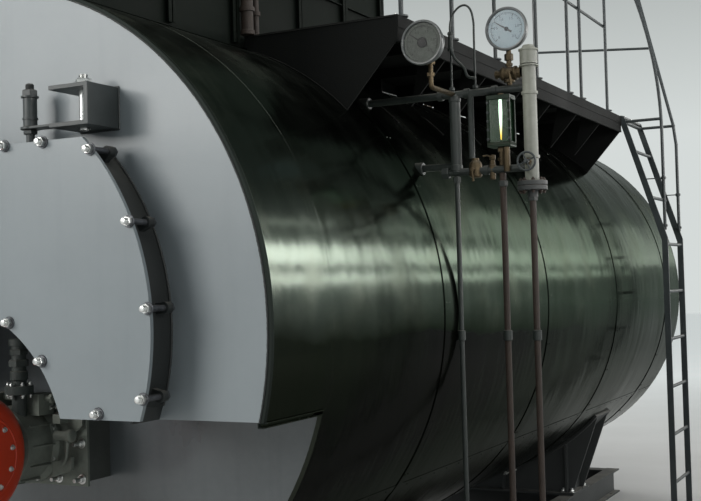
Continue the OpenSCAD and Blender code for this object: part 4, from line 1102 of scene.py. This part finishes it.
class BOILER_OT_gauges(bpy.types.Operator):
    """Water column, water gauge, pressure gauges and the cocks and pipes that carry them"""
    bl_idname = "boiler.gauges"
    bl_label = "Gauge group"

    def execute(self, context):
        dress("connection_pipes")
        first = Shape(DRAIN_X, GAUGE_Y, 0).rod((0, 0, DRAIN_FOOT), (0, 0, 513.7), 9.6, 24, 1)
        piece(first, "frame_drain", "pipe_grey", ("drain_pipes",))
        drains = Shape(0, GAUGE_Y, 0)
        for x, top in ((SIGHT_X, 513.7), (COLUMN_X, 416)):
            drains.rod((x, 0, DRAIN_FOOT), (x, 0, top), 12, 28, 1)
        piece(drains, "rusty_drains", "rusty_pipe")
        post = Shape(COLUMN_X, GAUGE_Y, 0).lathe([
            (0, 476), (26, 476), (26, 914), (33, 915), (33, 970), (31, 972), (26, 972), (26, 976), (24, 978),
            (0, 978)], steps=48)
        piece(post, "column_post", "column_paint", ("water_column",), sharp=30)
        pair = Shape(COLUMN_X, GAUGE_Y, 0)
        for low in (440.2, 458.4):
            pair.lathe([(0, 0), (54, 0), (56, 1.6), (56, 15.6), (54, 17.2), (0, 17.2)], (0, 0, low), Z, 48)
        pair.lathe([(0, 416), (20, 416), (20, 440), (26, 441), (0, 441)])
        piece(pair, "column_flanges", "dark_steel", sharp=30)
        pressure_gauge("front_gauge", 1108, 1100, 982, 0.30, "gauge_face_aged",
                       clear_glass("aged_glass", (0.05, 0.06, 0.05), 0.12, 0.12, 0.08), 19.0)
        pressure_gauge("rear_gauge", 1335, GAUGE_Y, 1054, 0.29, "dial_white",
                       clear_glass("dial_glass", (0.5, 0.6, 0.65), 0.06))
        foot = Shape(0, GAUGE_Y, 0).box((1325, 1345), (-1, 1), (972, 973))
        piece(foot, "rear_gauge_foot", "brass", ("pressure_gauges",))
        self.cocks()
        self.pipes()
        self.column()
        self.sight_glass()
        return {"FINISHED"}

    def cocks(self):
        cocks = Shape(0, GAUGE_Y, 0)
        cocks.rod((1335, 0, 842), (1335, 0, 974), 9.6, 20)
        cocks.lathe([(9, 0), (21, 0), (21, 10), (19, 12), (9, 12)], (1335, 0, 853), Z, 28)
        cocks.lathe([(0, 0), (16, 0), (16, 8), (13, 10), (13, 20), (24, 24), (27, 30), (27, 36), (23, 40), (25, 56),
                     (23, 72), (27, 76), (27, 84), (20, 88), (18, 101), (0, 101)], (1281, 0, 887), X, 28)
        cocks.rod((1345, -24, 887), (1345, -44, 887), 9, 16, 1)
        cocks.tube([(1345, -42, 887), (1352, -44, 872), (1356, -44, 838)], [5, 4.5, 5.5], 10)
        cocks.tube([(1108, -249, 962), (1108, -235, 962), (1108, -225, 959), (1108, -220, 950), (1108, -220, 845),
                    (1108, -218, 835), (1108, -209, 829), (1108, -195, 829), (1108, -12, 829)], 9.2, 16)
        cocks.ring(9, 19, 14, (1108, -247, 962), Y, 20)
        cocks.lathe([(0, 502), (17, 502), (24, 508), (25, 520), (25, 548), (22, 560), (14, 568), (14, 576), (0, 578)],
                    (1188, 0, 0), Z, 28)
        cocks.rod((1188, -22, 530), (1188, -40, 530), 8, 14, 1)
        cocks.tube([(1188, -38, 530), (1190, -40, 512), (1192, -40, 486)], [4, 4, 5], 8)
        cocks.lathe([(0, 490), (8, 490), (11, 494), (11, 520), (14, 522), (14, 545), (11, 548), (9, 566), (12, 568),
                     (12, 584), (0, 586)], (1257, 0, 0), Z, 20)
        cocks.tube([(1257, -12, 575), (1244, -20, 582), (1228, -24, 580)], [3, 3, 4], 8)
        cocks.lathe([(0, 516), (11, 516), (12, 522), (12, 606), (9, 610), (0, 612)], (1322, -20, 0), Z, 20)
        cocks.rod((COLUMN_X, -26, 545), (COLUMN_X, -62, 545), 8.6, 16, 1)
        for origin, axis, across, height, turn in (
                ((1335, 0, 937), Z, 29, 25, 0.3), ((1335, 0, 916), Z, 25, 10, 0.1), ((1289, 0, 887), -X, 26, 9, 0),
                ((1370, 0, 887), X, 38, 12, 0.2), ((1108, -220, 868), Z, 27, 14, 86.8),
                ((1108, -220, 912), Z, 30, 14, 91.2), ((1188, 0, 566), Z, 24, 9, 0.5),
                ((COLUMN_X, -36, 545), -Y, 24, 12, 0)):
            cocks.hexagon(origin, axis, across, height, turn)
        piece(cocks, "cocks_finished", "brass", ("gauge_cocks",), sharp=32)
        wheel = Shape(COLUMN_X, GAUGE_Y - 62, 545)
        handwheel(wheel, -Y, 34, 4.2, 4)
        piece(wheel, "column_handwheel", "rail_steel", sharp=40)

    def pipes(self):
        siphon = Shape(0, GAUGE_Y, 0)
        bend = [(1100, 840), (1100, 1060), (1099, 1095), (1110, 1137), (1138, 1166), (1166, 1170), (1187, 1148),
                (1197, 1100), (1197, 1060), (1197, 842)]
        siphon.tube(smooth([(x, 0, z) for x, z in bend]), 4.2, 10)
        siphon.rod((1100, 0, 1010), (1100, 0, 1064), 9, 16, 1.5)
        siphon.tube(smooth([(1102, -9, 1010), (1122, -12, 966), (1158, -12, 926), (1171, -11, 893),
                            (1199, -6, 884)]), 5.5, 10)
        for x, z, across, height, turn in ((1100, 1064, 21, 10, 0), (1100, 1000, 21, 10, 0.4), (1197, 846, 20, 12, 0),
                                           (1100, 846, 20, 12, 0.2)):
            siphon.hexagon((x, 0, z), Z, across, height, turn)
        piece(siphon, "siphon", "pipe_grey", sharp=40)

        fittings = Shape(0, GAUGE_Y, 0)
        for x in (1040, 1150, 1262):
            fittings.ring(14, 19, 24, (x, 0, 829), X, edge=2)
        fittings.hexagon((1054, 0, 528), X, 42, 26, 0.2)
        fittings.ring(14, 18, 21, (1222, 0, 528), X, edge=1)
        for z in (800, 533):
            fittings.ring(20, 24, 24, (DRAIN_X, 0, z), edge=2)
        for x, low, radius in ((SIGHT_X, 462, 12), (COLUMN_X, 402, 12), (DRAIN_X, 488, 10)):
            fittings.hexagon((x, 0, low), Z, radius * 2.7, 22, 0.1)
            for joint in (-120, -820):
                fittings.ring(radius, radius + 5, 40, (x, 0, joint), Z, 20, 2)
        piece(fittings, "pipe_fittings", "pipe_grey", sharp=32)

    def column(self):
        rings = Shape(COLUMN_X, GAUGE_Y, 0)
        for low, high, radius in ((905, 911, 37), (964, 972, 37), (560, 572, 31), (800, 812, 31)):
            rings.ring(26, radius, high - low, (0, 0, low), Z, 32, 1)
        rings.hexagon((0, 0, 977), Z, 40, 9)
        piece(rings, "column_rings", "column_paint", sharp=32)
        for name, z, aim, seed in (("column_bolts", 476, Z, 3), ("column_nuts", 440, -Z, 7)):
            fasteners(name, "rusty_pipe", bolt_circle(8, 43, COLUMN_X, GAUGE_Y, z, aim), 7, 6, 8.5, 4, 4, 0.7, seed)
        weld_beads("column_welds", "column_paint", [flat_ring(27, COLUMN_X, GAUGE_Y, 478)], 3, 4)

    def sight_glass(self):
        body = Shape(SIGHT_X, GAUGE_Y, 0)
        for low, high in ((610.5, 628), (790, 806.5)):
            body.box((-46, 46), (-34, 34), (low, high))
        for ys in ((-34, -24), (24, 34)):
            for xs in ((-46, -37), (37, 46)):
                body.box(xs, ys, (628, 790))
        piece(body, "gauge_frame", "rail_steel", ("water_gauge",), bevel=1.5, material=finish("gauge_green"))
        ends = Shape(SIGHT_X, GAUGE_Y, 0)
        ends.rod((0, 0, 806), (0, 0, 815), 12, 20)
        ends.rod((0, 0, 542), (0, 0, 611), 12, 20)
        ends.hexagon((0, 0, 594), Z, 32, 16)
        ends.hexagon((0, 0, 560), Z, 30, 12, 0.4)
        piece(ends, "gauge_ends", "brass", sharp=32)
        pane = Shape(SIGHT_X, GAUGE_Y, 0).box((-37, 37), (-30, 30), (628.3, 789.7))
        piece(pane, "gauge_pane", "gauge_glass", bevel=1,
              material=clear_glass("green_glass", (0.022, 0.062, 0.028), 0.88, 0.06, 0.1))
        # Glowing strip inside the gauge: painted light seen through the glass.
        strip = Shape(SIGHT_X + 9, GAUGE_Y - 30.4, 0).slab(
            [(-2, 636), (2, 636), (5, 690), (7, 740), (6, 788), (-6, 788), (-7, 740), (-5, 690)], X, Z, 0.8)
        piece(strip, "gauge_strip", "gauge_glass", material=painted_glow_strip())
        spots = [((SIGHT_X + dx, GAUGE_Y - 34, z), -Y) for z in (640, 676, 709, 742, 778) for dx in (-41.5, 41.5)]
        fasteners("gauge_screws", "rail_steel", spots, 4.6, 4, 5.5, 2.4, 2, 0.4)


class BOILER_OT_walkway(bpy.types.Operator):
    """Deck with its tread pattern, gussets, railing and their joints"""
    bl_idname = "boiler.walkway"
    bl_label = "Walkway"

    def execute(self, context):
        edge = context.scene.boiler_sizes.edge
        dress("deck", edge * 0.6)
        dress("deck_gussets", edge * 0.6)
        dress("railing_posts")
        dress("railing_rails")
        lozenge = Shape().lathe([(6, 0), (4.6, 0.9), (2.4, 1.6), (0, 1.7)], steps=6)
        for vert in lozenge.bm.verts:
            vert.co.x *= 2.0
            vert.co.y *= 0.55
        spots = [((364 + i * 33.5, DECK_Y + 14 + j * 33.2, DECK_TOP), Z, math.radians(45 if (i + j) % 2 else -45))
                 for i in range(19) for j in range(98)]
        scattered("deck_treads", "deck_steel", lozenge, spots)
        strip = Shape()
        ys = (DECK_Y, DECK_Y + DECK_LEN - 2)
        strip.box((1012, 1015), ys, (1052, DECK_TOP - 1))
        strip.box((1012, 1014), ys, (1000, 1010))
        piece(strip, "deck_edge", "deck_steel", bevel=0.8)
        posts = [DECK_Y + share * DECK_LEN for share in (0.0185, 0.1727, 0.3284, 0.5103, 0.6744, 0.7490, 0.9167)]
        welds = []
        for y in posts:
            welds.append(flat_ring(10.5, 1001, y, 1107.5, 20))
            welds += [[(986 + 7 * c, y + 12 * s, z) for c, s in circle(12)] for z in (1617, 2142)]
        spots = [((984, y + dy, 1106), Z) for y in posts for dy in (-13, 13)]
        fasteners("post_bolts", "zinc_steel", spots, 5, 4.5, 6.5, 3, 3, 0.4)
        weld_beads("railing_welds", "rail_steel", welds, 2.4, 3)
        ends = Shape()
        for y, z in ((1100, 1617), (4093, 1617), (1100, 2142)):
            ends.lathe([(0, -4), (6, -3), (8, 0), (8, 3), (0, 3)], (983.7, y, z), Y, 16)
        piece(ends, "rail_ends", "rail_steel")
        welds, gusset_pitch = [], 461.857
        for i in range(8):
            for side in (-1.0, 11.0):
                y = DECK_Y + i * gusset_pitch + side
                welds.append([(x, y, 1093) for x in (360, 680, 998)])
                arc = ring_path(SHELL_R + 1.5, y, math.radians(20), math.radians(46), 14)
                welds.append([p for p in arc if i in (0, 7) or p[0] < 480 or p[0] > 690])
        weld_beads("gusset_welds", "deck_steel", [w for w in welds if len(w) > 1], 3.0, 8)
        return {"FINISHED"}


def stringer_place(z):
    """Place in x of the ladder's stringers, which lean towards the deck above their knee."""
    return 1254.0 if z < 330 else 1254 - (z - 330) * 242 / 770


class BOILER_OT_ladder(bpy.types.Operator):
    """Ladder with its rungs, handrails, clips, feet and welds"""
    bl_idname = "boiler.ladder"
    bl_label = "Ladder"

    def execute(self, context):
        dress("ladder_stringers", context.scene.boiler_sizes.edge * 0.8)
        dress("ladder_rungs")
        dress("ladder_handrails")
        welds = [ring_path(10.5, y, 0, math.tau, 16, (stringer_place(z), z)) for z in range(-1150, 960, 290)
                 for y in (LADDER_NEAR + 13, LADDER_FAR - 1)]
        weld_beads("rung_welds", "rail_steel", welds, 2.6, 4)
        feet, clips, bolts = Shape(), Shape(), []
        for y, outer, bar_y, top in ((LADDER_NEAR, LADDER_NEAR - 24, LADDER_NEAR + 22.3, 700),
                                     (LADDER_FAR, LADDER_FAR - 10, LADDER_FAR - 10.3, 620)):
            feet.box((1206, 1270), (outer, outer + 46), (-1399.8, -1392))
            bolts.append(((1219, outer + 23, -1392), Z))
            feet.slab([(0, 0), (-22, 0), (0, 60)], X, Z, -8, (1236, y + 2, -1392))
            for z in (410, top):
                clips.box((stringer_place(z) - 14, 1269), (bar_y - 13, bar_y + 13), (z, z + 5))
                clips.ring(10, 15, 17, (1254, bar_y, z - 6), Z, 20)
            clips.lathe([(0, -5), (7, -4), (10.4, 0), (10.4, 2), (0, 2)], (1254, bar_y, 390), Z, 16)
        piece(feet, "ladder_feet", "rail_steel", bevel=1.0)
        piece(clips, "handrail_clips", "rail_steel", bevel=0.6)
        fasteners("ladder_anchors", "zinc_steel", bolts, 9, 8, 13, 5.5, 9, 0.7)
        top = [((x, LADDER_NEAR + dy, DECK_TOP), Z) for x in (1003, 1021) for dy in (60, 225, 390)]
        fasteners("top_step_bolts", "zinc_steel", top, 5, 4, 7, 3, 2, 0.4)
        caps = Shape()
        for y in (LADDER_NEAR + 6, LADDER_FAR + 6):
            caps.tube([(1000, y, 1098), (1012, y, 1101), (1024, y, 1098)], 4, 8)
        piece(caps, "step_ends", "rail_steel")
        return {"FINISHED"}


class BOILER_OT_economizer(bpy.types.Operator):
    """Economizer box with stiffeners, panel edges, bolts, doors and pipes; chimney collar"""
    bl_idname = "boiler.economizer"
    bl_label = "Economizer"

    def execute(self, context):
        edge = context.scene.boiler_sizes.edge
        dress("economizer", edge * 2)
        dress("chimney_collar", edge * 0.4)
        ribs, spots = Shape(), []
        foot, top = 1065, 1716
        wall, face = 324.5, 345
        for sign in SIDES:
            for y in ECONOMIZER_RIBS:
                ribs.box((sign * wall, sign * face), (y - 4, y + 4), (foot, top))
                ribs.box((sign * 341, sign * face), (y - 22, y + 22), (foot, top))
                spots += [((sign * face, y - 13, foot + 45 + k * 82), (sign, 0, 0), k * 0.8) for k in range(8)]
            for z in (1712, 1400):
                for first, last in zip(ECONOMIZER_RIBS, ECONOMIZER_RIBS[1:]):
                    ribs.box((sign * wall, sign * 341), (first + 22, last - 22), (z - 5, z))
        for y, sign in ((60, -1), (2350, 1)):
            ys = (y - sign, y + sign * 12)
            for x in (-250, 0, 250):
                ribs.box((x - 20, x + 20), ys, (1110, 1712))
            ribs.box((-325, 325), ys, (1380, 1405))
        for y in ECONOMIZER_RIBS:
            ribs.box((-330, 330), (y - 22, y + 22), (1719, 1725))
        piece(ribs, "economizer_ribs", "green_grey_paint", bevel=1.0)
        scattered("economizer_rivets", "green_grey_paint", rivet(), spots)
        doors, bolts = Shape(), []
        for sign in SIDES:
            for y in (817, 1285, 1750):
                doors.box((sign * 324, sign * 334), (y - 130, y + 130), (1440, 1660))
                bolts += [((sign * 334, y + dy, z), (sign, 0, 0)) for dy in (-110, 110) for z in (1460, 1550, 1640)]
                handle = ((333, 1500), (362, 1506), (362, 1594), (333, 1600))
                doors.tube([(sign * x, y, z) for x, z in handle], 6, 10)
        piece(doors, "economizer_doors", "green_grey_paint", bevel=2.0)
        fasteners("economizer_bolts", "zinc_steel", bolts, 8, 6, 10, 4.5, 6, 0.6)
        pipes = Shape()
        for y, radius in ((1067, 24), (1150, 12)):
            x = face + radius
            pipes.tube([(x, y, 1110), (x, y, 1690), (x, y + 12, 1712), (x, y + 40, 1722), (x, y + 260, 1722),
                        (x - 20, y + 290, 1722), (300, y + 295, 1722)], radius, 18)
            for z in (1200, 1420, 1640):
                pipes.ring(radius, radius + 6, 18, (x, y, z - 9), Z, 20, 1)
            pipes.lathe([(0, 0), (radius + 4, 0), (radius + 4, 16), (radius, 18)], (x, y, 1100), Z, 24)
        piece(pipes, "economizer_pipes", "rusty_pipe", sharp=35)
        collar = Shape(0, COLLAR_Y, 0)
        collar.lathe([(225, 1718), (262, 1720), (262, 1728), (225, 1730)], steps=64)
        for angle in around(8, 0.5):
            out = Vector((math.cos(angle), math.sin(angle), 0))
            collar.slab([(0, 1728), (34, 1728), (40, 1869), (0, 1869)], out, Z, -6, out * 224 - out.cross(Z) * 3)
        piece(collar, "collar_ribs", "dark_steel", bevel=0.8)
        weld_beads("collar_weld", "dark_steel", [flat_ring(227, 0, COLLAR_Y, 1870, 64)], 3, 4)
        return {"FINISHED"}


class BOILER_OT_top(bpy.types.Operator):
    """Manhole, steam outlet, safety valves and feed inlet with bolts, welds and levers"""
    bl_idname = "boiler.top"
    bl_label = "Top fittings"

    def execute(self, context):
        edge = context.scene.boiler_sizes.edge
        for node, rounding in (("manhole", 1.2), ("steam_outlet", 0.8), ("safety_valves", 1.0), ("feed_inlet", 0.8)):
            dress(node, rounding * edge / EDGE)
        cover_top = 1236
        cover = bolt_circle(16, 236, 0, MANHOLE_Y, cover_top, Z)
        fasteners("manhole_nuts", "zinc_steel", cover, 14, 12.6, 17.5, 7.84, 11.2, 1.26)
        flange = bolt_circle(16, 236, 0, MANHOLE_Y, 1190, -Z)
        fasteners("manhole_heads", "zinc_steel", flange, 14, 9.8, 16.8, bevel=1.26, seed=8)
        trim = Shape(0, MANHOLE_Y, 0)
        trim.ring(259, 261.5, 3, (0, 0, 1212.5), Z, 72, 0.6)
        trim.lathe([(100, 0), (103, 4), (150, 4), (153, 0)], (0, 0, cover_top), Z, 48)
        piece(trim, "manhole_trim", "dark_steel", sharp=30)
        davit = Shape(0, MANHOLE_Y, 0)
        davit.tube([(-275, 0, 1130), (-275, 0, 1330), (-262, 0, 1366), (-225, 0, 1384), (-40, 0, 1388),
                    (0, 0, 1386)], 14, 16)
        davit.rod((0, 0, 1294), (0, 0, 1380), 7, 14)
        davit.hexagon((0, 0, 1398), Z, 26, 10)
        davit.hexagon((0, 0, 1292), Z, 26, 10)
        davit.ring(15, 24, 60, (-275, 0, 1130))
        davit.box((-280, -255), (-20, 20), (1160, 1214))
        piece(davit, "manhole_davit", "davit_steel", sharp=35)
        welds = [flat_ring(59, 0, OUTLET_Y, 1306, 40), flat_ring(212, 0, MANHOLE_Y, 1188, 64)]
        for radius, y in ((58, OUTLET_Y), (211, MANHOLE_Y), (35, VALVE_YS[0]), (35, VALVE_YS[1])):
            welds.append([(radius * c, y + radius * s, math.sqrt(SEAM_R ** 2 - (radius * c) ** 2))
                          for c, s in circle(64)])
        weld_beads("neck_welds", "pipe_grey", welds, 4.5, 3)
        valves, springs, bolts = Shape(), Shape(), []
        for y in VALVE_YS:
            valves.move(0, y, 0)
            springs.move(0, y, 0)
            valves.lathe([(52, 1230), (58, 1234), (58, 1244), (52, 1248)], steps=36)
            valves.lathe([(52, 1288), (60, 1292), (60, 1302), (40, 1304)], steps=36)
            valves.lathe([(40, 1380), (46, 1383), (46, 1392), (26, 1394)])
            valves.hexagon((0, 0, 1414), Z, 38, 16)
            valves.rod((0, 0, 1428), (0, 0, 1446), 8, 14, 1)
            valves.tube([(16, 0, 1438), (60, 0, 1444), (130, 0, 1436), (172, 0, 1424)], [6, 6, 5, 7], 10)
            valves.box((-10, 22), (-14, -8), (1428, 1448))
            valves.box((-10, 22), (8, 14), (1428, 1448))
            valves.rod((12, -16, 1438), (12, 16, 1438), 4, 12)
            valves.lathe([(0, 0), (26, 0), (26, 3), (62, 3), (62, 5), (0, 5)], (-132, 0, 1265), X)
            springs.lathe([(27, 0), (29, 0.6), (29, 15), (27, 16)], (0, 0, 1396), Z, 28)
            bolts += bolt_circle(8, 65, 0, y, 1230, Z)
            bolts += [((-114, y + 49 * math.cos(a), 1265 + 49 * math.sin(a)), X) for a in around(4, 0.5)]
        piece(valves, "valve_trim", "brass", sharp=32)
        piece(springs, "valve_rings", "zinc_steel", sharp=32)
        fasteners("valve_bolts", "zinc_steel", bolts, 7.5, 7, 9.5, 4.4, 6, 0.6)
        ring = [(-math.sqrt(SEAM_R ** 2 - (200 + 31 * s) ** 2), 3940 + 31 * c, 200 + 31 * s) for c, s in circle(32)]
        weld_beads("feed_weld", "pipe_grey", [ring], 4, 2)
        return {"FINISHED"}


class BOILER_OT_base(bpy.types.Operator):
    """Skid and saddles with their welds"""
    bl_idname = "boiler.base"
    bl_label = "Base"

    def execute(self, context):
        for node in ("skid", "front_saddle", "rear_saddle"):
            dress(node, context.scene.boiler_sizes.edge * 0.6)
        welds = []
        for middle in SADDLE_YS:
            for side in SIDES:
                welds += [[(x, middle + side * dy, SKID_TOP) for dy in (40, 159)] for x in (-664, 664)]
                welds.append([(x, middle + side * 121, SKID_TOP + 1) for x in (-640, 640)])
                welds.append([(1112 * math.sin(a), middle + side * 161, -1112 * math.cos(a))
                              for a in spread(math.radians(-47), math.radians(47), 40)])
            for sign in SIDES:
                welds += [[(sign * x, middle + dy, SKID_TOP + 1) for x in (576, 664)] for dy in (-161, 161)]
        weld_beads("saddle_welds", "dark_steel", welds, 4.5, 5)
        bolts = [((x, middle + dy, SKID_TOP), Z) for middle in SADDLE_YS for x in (-645, 645, -592, 592)
                 for dy in (-128, 128)]
        fasteners("saddle_bolts", "zinc_steel", bolts, 15, 13, 20, 9, 12, 1.2)
        return {"FINISHED"}


class BOILER_OT_rear(bpy.types.Operator):
    """Rear door with its clamps, hinges, sight port and stiffeners"""
    bl_idname = "boiler.rear"
    bl_label = "Rear"

    def execute(self, context):
        door, clamps, lugs = (Shape(*REAR_CENTRE) for _ in range(3))
        door.ring(596, 610, 70, axis=Y, steps=96)
        door.lathe([(0, 71), (600, 71), (640, 70), (640, 82), (637, 84), (624, 84), (622, 78), (0, 78)], axis=Y,
                   steps=128)
        door.lathe([(250, 78), (250, 83), (262, 83), (262, 78)], axis=Y, steps=96)
        for angle in around(8, 0.5):
            out = ray(angle)
            door.slab([(262, 0), (624, 0), (624, 5.5), (262, 5.5)], out, Y, -8, Y * 78 - Y.cross(out) * 4)
        piece(door, "rear_door_finished", "grey_paint", ("rear_door",), bevel=0.8, sharp=30)
        for i, angle in enumerate(around(16)):
            out = ray(angle)
            clamps.rod(out * 623 + Y * 22, out * 623 + Y * 72, 7, 12)
            clamps.ring(8, 15, 2, out * 590 + Y * 77.5, Y, 20)
            clamps.hexagon(out * 590 + Y * 79, Y, 20, 4.6, i * 0.6)
            clamps.hexagon(out * 623 + Y * 58, Y, 22, 11, i * 0.5)
            lugs.slab([(609, 18), (636, 18), (636, 30), (609, 30)], out, Y, -22, Y.cross(out) * -11)
        piece(clamps, "rear_clamps", "zinc_steel", sharp=30)
        for z in (-260, 260):
            lugs.rod((-672, 46, z - 78), (-672, 46, z + 78), 13, 20, 2)
            for low, high in ((-70, -36), (-33, 33), (36, 70)):
                lugs.rod((-672, 46, z + low), (-672, 46, z + high), 20, 24, 1.5)
            for low in (-66, 40):
                lugs.box((-686, -658), (-2, 46), (z + low, z + low + 26))
            lugs.slab([(-672, 28), (-690, 50), (-676, 68), (-640, 83.4), (-520, 83.4), (-520, 77), (-636, 77),
                       (-646, 40)], X, Y, -60, (0, 0, z + 30))
        piece(lugs, "rear_lugs", "neck_steel", bevel=1.0)
        port = Shape(*REAR_CENTRE).lathe([(36, 77), (44, 77), (44, 82), (40, 83.6), (36, 82)], axis=Y, steps=36)
        piece(port, "sight_port", "zinc_steel", sharp=30)
        pane = Shape(*REAR_CENTRE).lathe([(0, 79), (36.5, 79), (36.5, 81), (0, 81)], axis=Y)
        piece(pane, "sight_pane", "gauge_glass", material=clear_glass("port_glass", (0.05, 0.03, 0.02), 0.75))
        weld_beads("rear_neck_weld", "grey_paint", [ring_path(612, 5441.5, centre=(0, 60))], 5, 3)
        return {"FINISHED"}


class BOILER_OT_burner(bpy.types.Operator):
    """Burner with its plate, cast body, enamelled fan casing, motor and gas pipe"""
    bl_idname = "boiler.burner"
    bl_label = "Burner"

    def execute(self, context):
        edge = context.scene.boiler_sizes.edge / EDGE
        for node, rounding in (("burner_plate", 1.4), ("burner_body", 1.2), ("burner_gas_pipe", 0.6)):
            dress(node, rounding * edge)
        casing, hub = dress("burner_fan_casing"), at(0, FAN_Y, BURNER_Z)
        for vert in casing.data.vertices:
            vert.co.y = hub.y + (vert.co.y - hub.y) * 0.975
            vert.co.z = hub.z + (vert.co.z - hub.z) * 0.975
        # The burner box is painted near-black as painted shade.
        dress("burner_box", 2.0 * edge, finish("box_enamel"))
        places = [(x, z) for x in (-218, -120, 120, 218) for z in (-118, 118)] + [(-218, 0), (218, 0)]
        spots = [((x, PLATE_Y, BURNER_Z + z), -Y) for x, z in places]
        fasteners("burner_studs", "zinc_steel", spots, 12, 11, 17, 7, 26, 1.0)
        spots = [((129 * math.cos(a), PLATE_Y - 18, BURNER_Z + 129 * math.sin(a)), -Y) for a in around(8, 0.5)]
        fasteners("body_bolts", "zinc_steel", spots, 9, 8, bevel=0.8)
        self.castings()
        self.fan_and_motor()
        spots = [spot for z, aim in ((198, Z), (170, -Z))
                 for spot in bolt_circle(6, 36, 60, PLATE_Y - 115, BURNER_Z + z, aim)]
        fasteners("gas_bolts", "zinc_steel", spots, 6.5, 6, 8.5, 4, 5, 0.5)
        pipe = Shape(60, PLATE_Y - 115, BURNER_Z)
        pipe.lathe([(24, 214), (29, 218), (29, 244), (24, 248)], steps=24)
        pipe.hexagon((0, 0, 262), Z, 58, 22)
        pipe.hexagon((0, 0, 300), Z, 54, 18, 0.4)
        piece(pipe, "gas_unions", "pipe_grey", sharp=32)
        return {"FINISHED"}

    def castings(self):
        body = Shape(0, PLATE_Y, BURNER_Z)
        for angle in around(12):
            out = ray(angle)
            if out.z < 0.9:
                body.slab([(126, 0), (138, 0), (134, -92), (126, -96)], out, Y, -6, Y * -34 - Y.cross(out) * 3)
        body.rod((-140, -55, 152), (140, -55, 152), 11, 20, 1.5)
        body.hexagon((140, -55, 152), X, 30, 12)
        body.hexagon((-140, -55, 152), -X, 30, 12)
        body.slab([(186, 20), (236, 60), (236, 98), (186, 110), (166, 70)], X, Z, 8, (0, -8, 0))
        body.box((150, 182), (-60, -1), (70, 100))
        body.rod((150, -46, 30), (206, -46, 30), 16, 20, 2)
        body.lathe([(0, 0), (21, 0), (21, 16), (16, 20), (0, 20)], (204, -46, 30), X, 24)
        body.slab([(130, -110), (210, -84), (214, -40), (132, -60)], X, Z, 14, (0, -30, 0))
        body.tube([(170, -36, -70), (205, -60, -40), (212, -60, 10), (196, -50, 30)], 6, 12)
        piece(body, "burner_castings", "cast_grey", bevel=1.6, sharp=40)

    def fan_and_motor(self):
        middle = Vector((0, FAN_Y, BURNER_Z))
        rims = Shape(*middle)
        rims.lathe([(196, -6), (204, -6), (204.8, 0), (204, 6), (196, 6)], (-34, 0, 0), X, 96)
        for x in (-97.5, 92.5):
            rims.ring(194, 202, 5, (x, 0, 0), X, 96)
        rims.lathe([(118, -3), (121, 3), (126, 3), (129, -3)], (165, 0, 0), X, 64)
        piece(rims, "casing_rims", "burner_orange", bevel=1.0, sharp=40)
        spots = [(middle + Vector((165, 108 * math.cos(a), 108 * math.sin(a))), X) for a in around(10, 0.3)]
        fasteners("casing_bolts", "zinc_steel", spots, 6.5, 6, 9, bevel=0.5)
        motor = Shape(*middle)
        side = Vector((-165, 0, 0))
        motor.lathe([(0, 0), (95, 0), (95, 26), (84, 28), (84, 222), (95, 224), (95, 250), (0, 250)], side, -X, 48)
        motor.lathe([(94, 250), (94, 254), (80, 258), (80, 286), (74, 290), (0, 290)], side, -X, 48)
        motor.box((-355, -245), (-50, 50), (80, 146))
        motor.box((-358, -242), (-53, 53), (140, 150))
        motor.lathe([(0, 0), (13, 0), (13, 14), (10, 18), (0, 18)], (-300, -50, 112), -Y, 16)
        piece(motor, "motor_finished", "dark_steel", ("burner_motor",), bevel=1.2, sharp=35)
        fins = [(middle + side - X * 125, X, a) for a in around(36) if not 52 < math.degrees(a) < 128]
        scattered("motor_fins", "dark_steel", Shape().box((-1.6, 1.6), (82, 94.5), (-96, 96)), fins, 0.0)
        slats = [(middle + side - X * 289, -X, a) for a in around(20)]
        scattered("motor_grille", "zinc_steel", Shape().box((-1.5, 1.5), (20, 62), (0, 2.0)), slats, 0.0)


class BOILER_PT_panel(bpy.types.Panel):
    """Sidebar panel with the settings and the operators"""
    bl_label = "Boiler"
    bl_idname = "BOILER_PT_panel"
    bl_space_type = "VIEW_3D"
    bl_region_type = "UI"
    bl_category = "Boiler"

    def draw(self, context):
        layout = self.layout
        for group in (context.scene.boiler_colours, context.scene.boiler_sizes):
            for name in group.__annotations__:
                layout.prop(group, name)
        for operator in OPERATORS:
            layout.operator(operator.bl_idname)


OPERATORS = (
    BOILER_OT_stage, BOILER_OT_shell, BOILER_OT_front, BOILER_OT_doors, BOILER_OT_davits, BOILER_OT_burner,
    BOILER_OT_gauges, BOILER_OT_walkway, BOILER_OT_ladder, BOILER_OT_economizer, BOILER_OT_top, BOILER_OT_base,
    BOILER_OT_rear,
)
CLASSES = (BoilerColours, BoilerSizes) + OPERATORS + (BOILER_PT_panel,)


def register():
    for cls in CLASSES:
        bpy.utils.register_class(cls)
    bpy.types.Scene.boiler_colours = PointerProperty(type=BoilerColours)
    bpy.types.Scene.boiler_sizes = PointerProperty(type=BoilerSizes)


def unregister():
    del bpy.types.Scene.boiler_sizes
    del bpy.types.Scene.boiler_colours
    for cls in reversed(CLASSES):
        bpy.utils.unregister_class(cls)


def main():
    register()
    for operator in OPERATORS:
        area, name = operator.bl_idname.split(".")
        getattr(getattr(bpy.ops, area), name)()


if __name__ == "__main__":
    main()
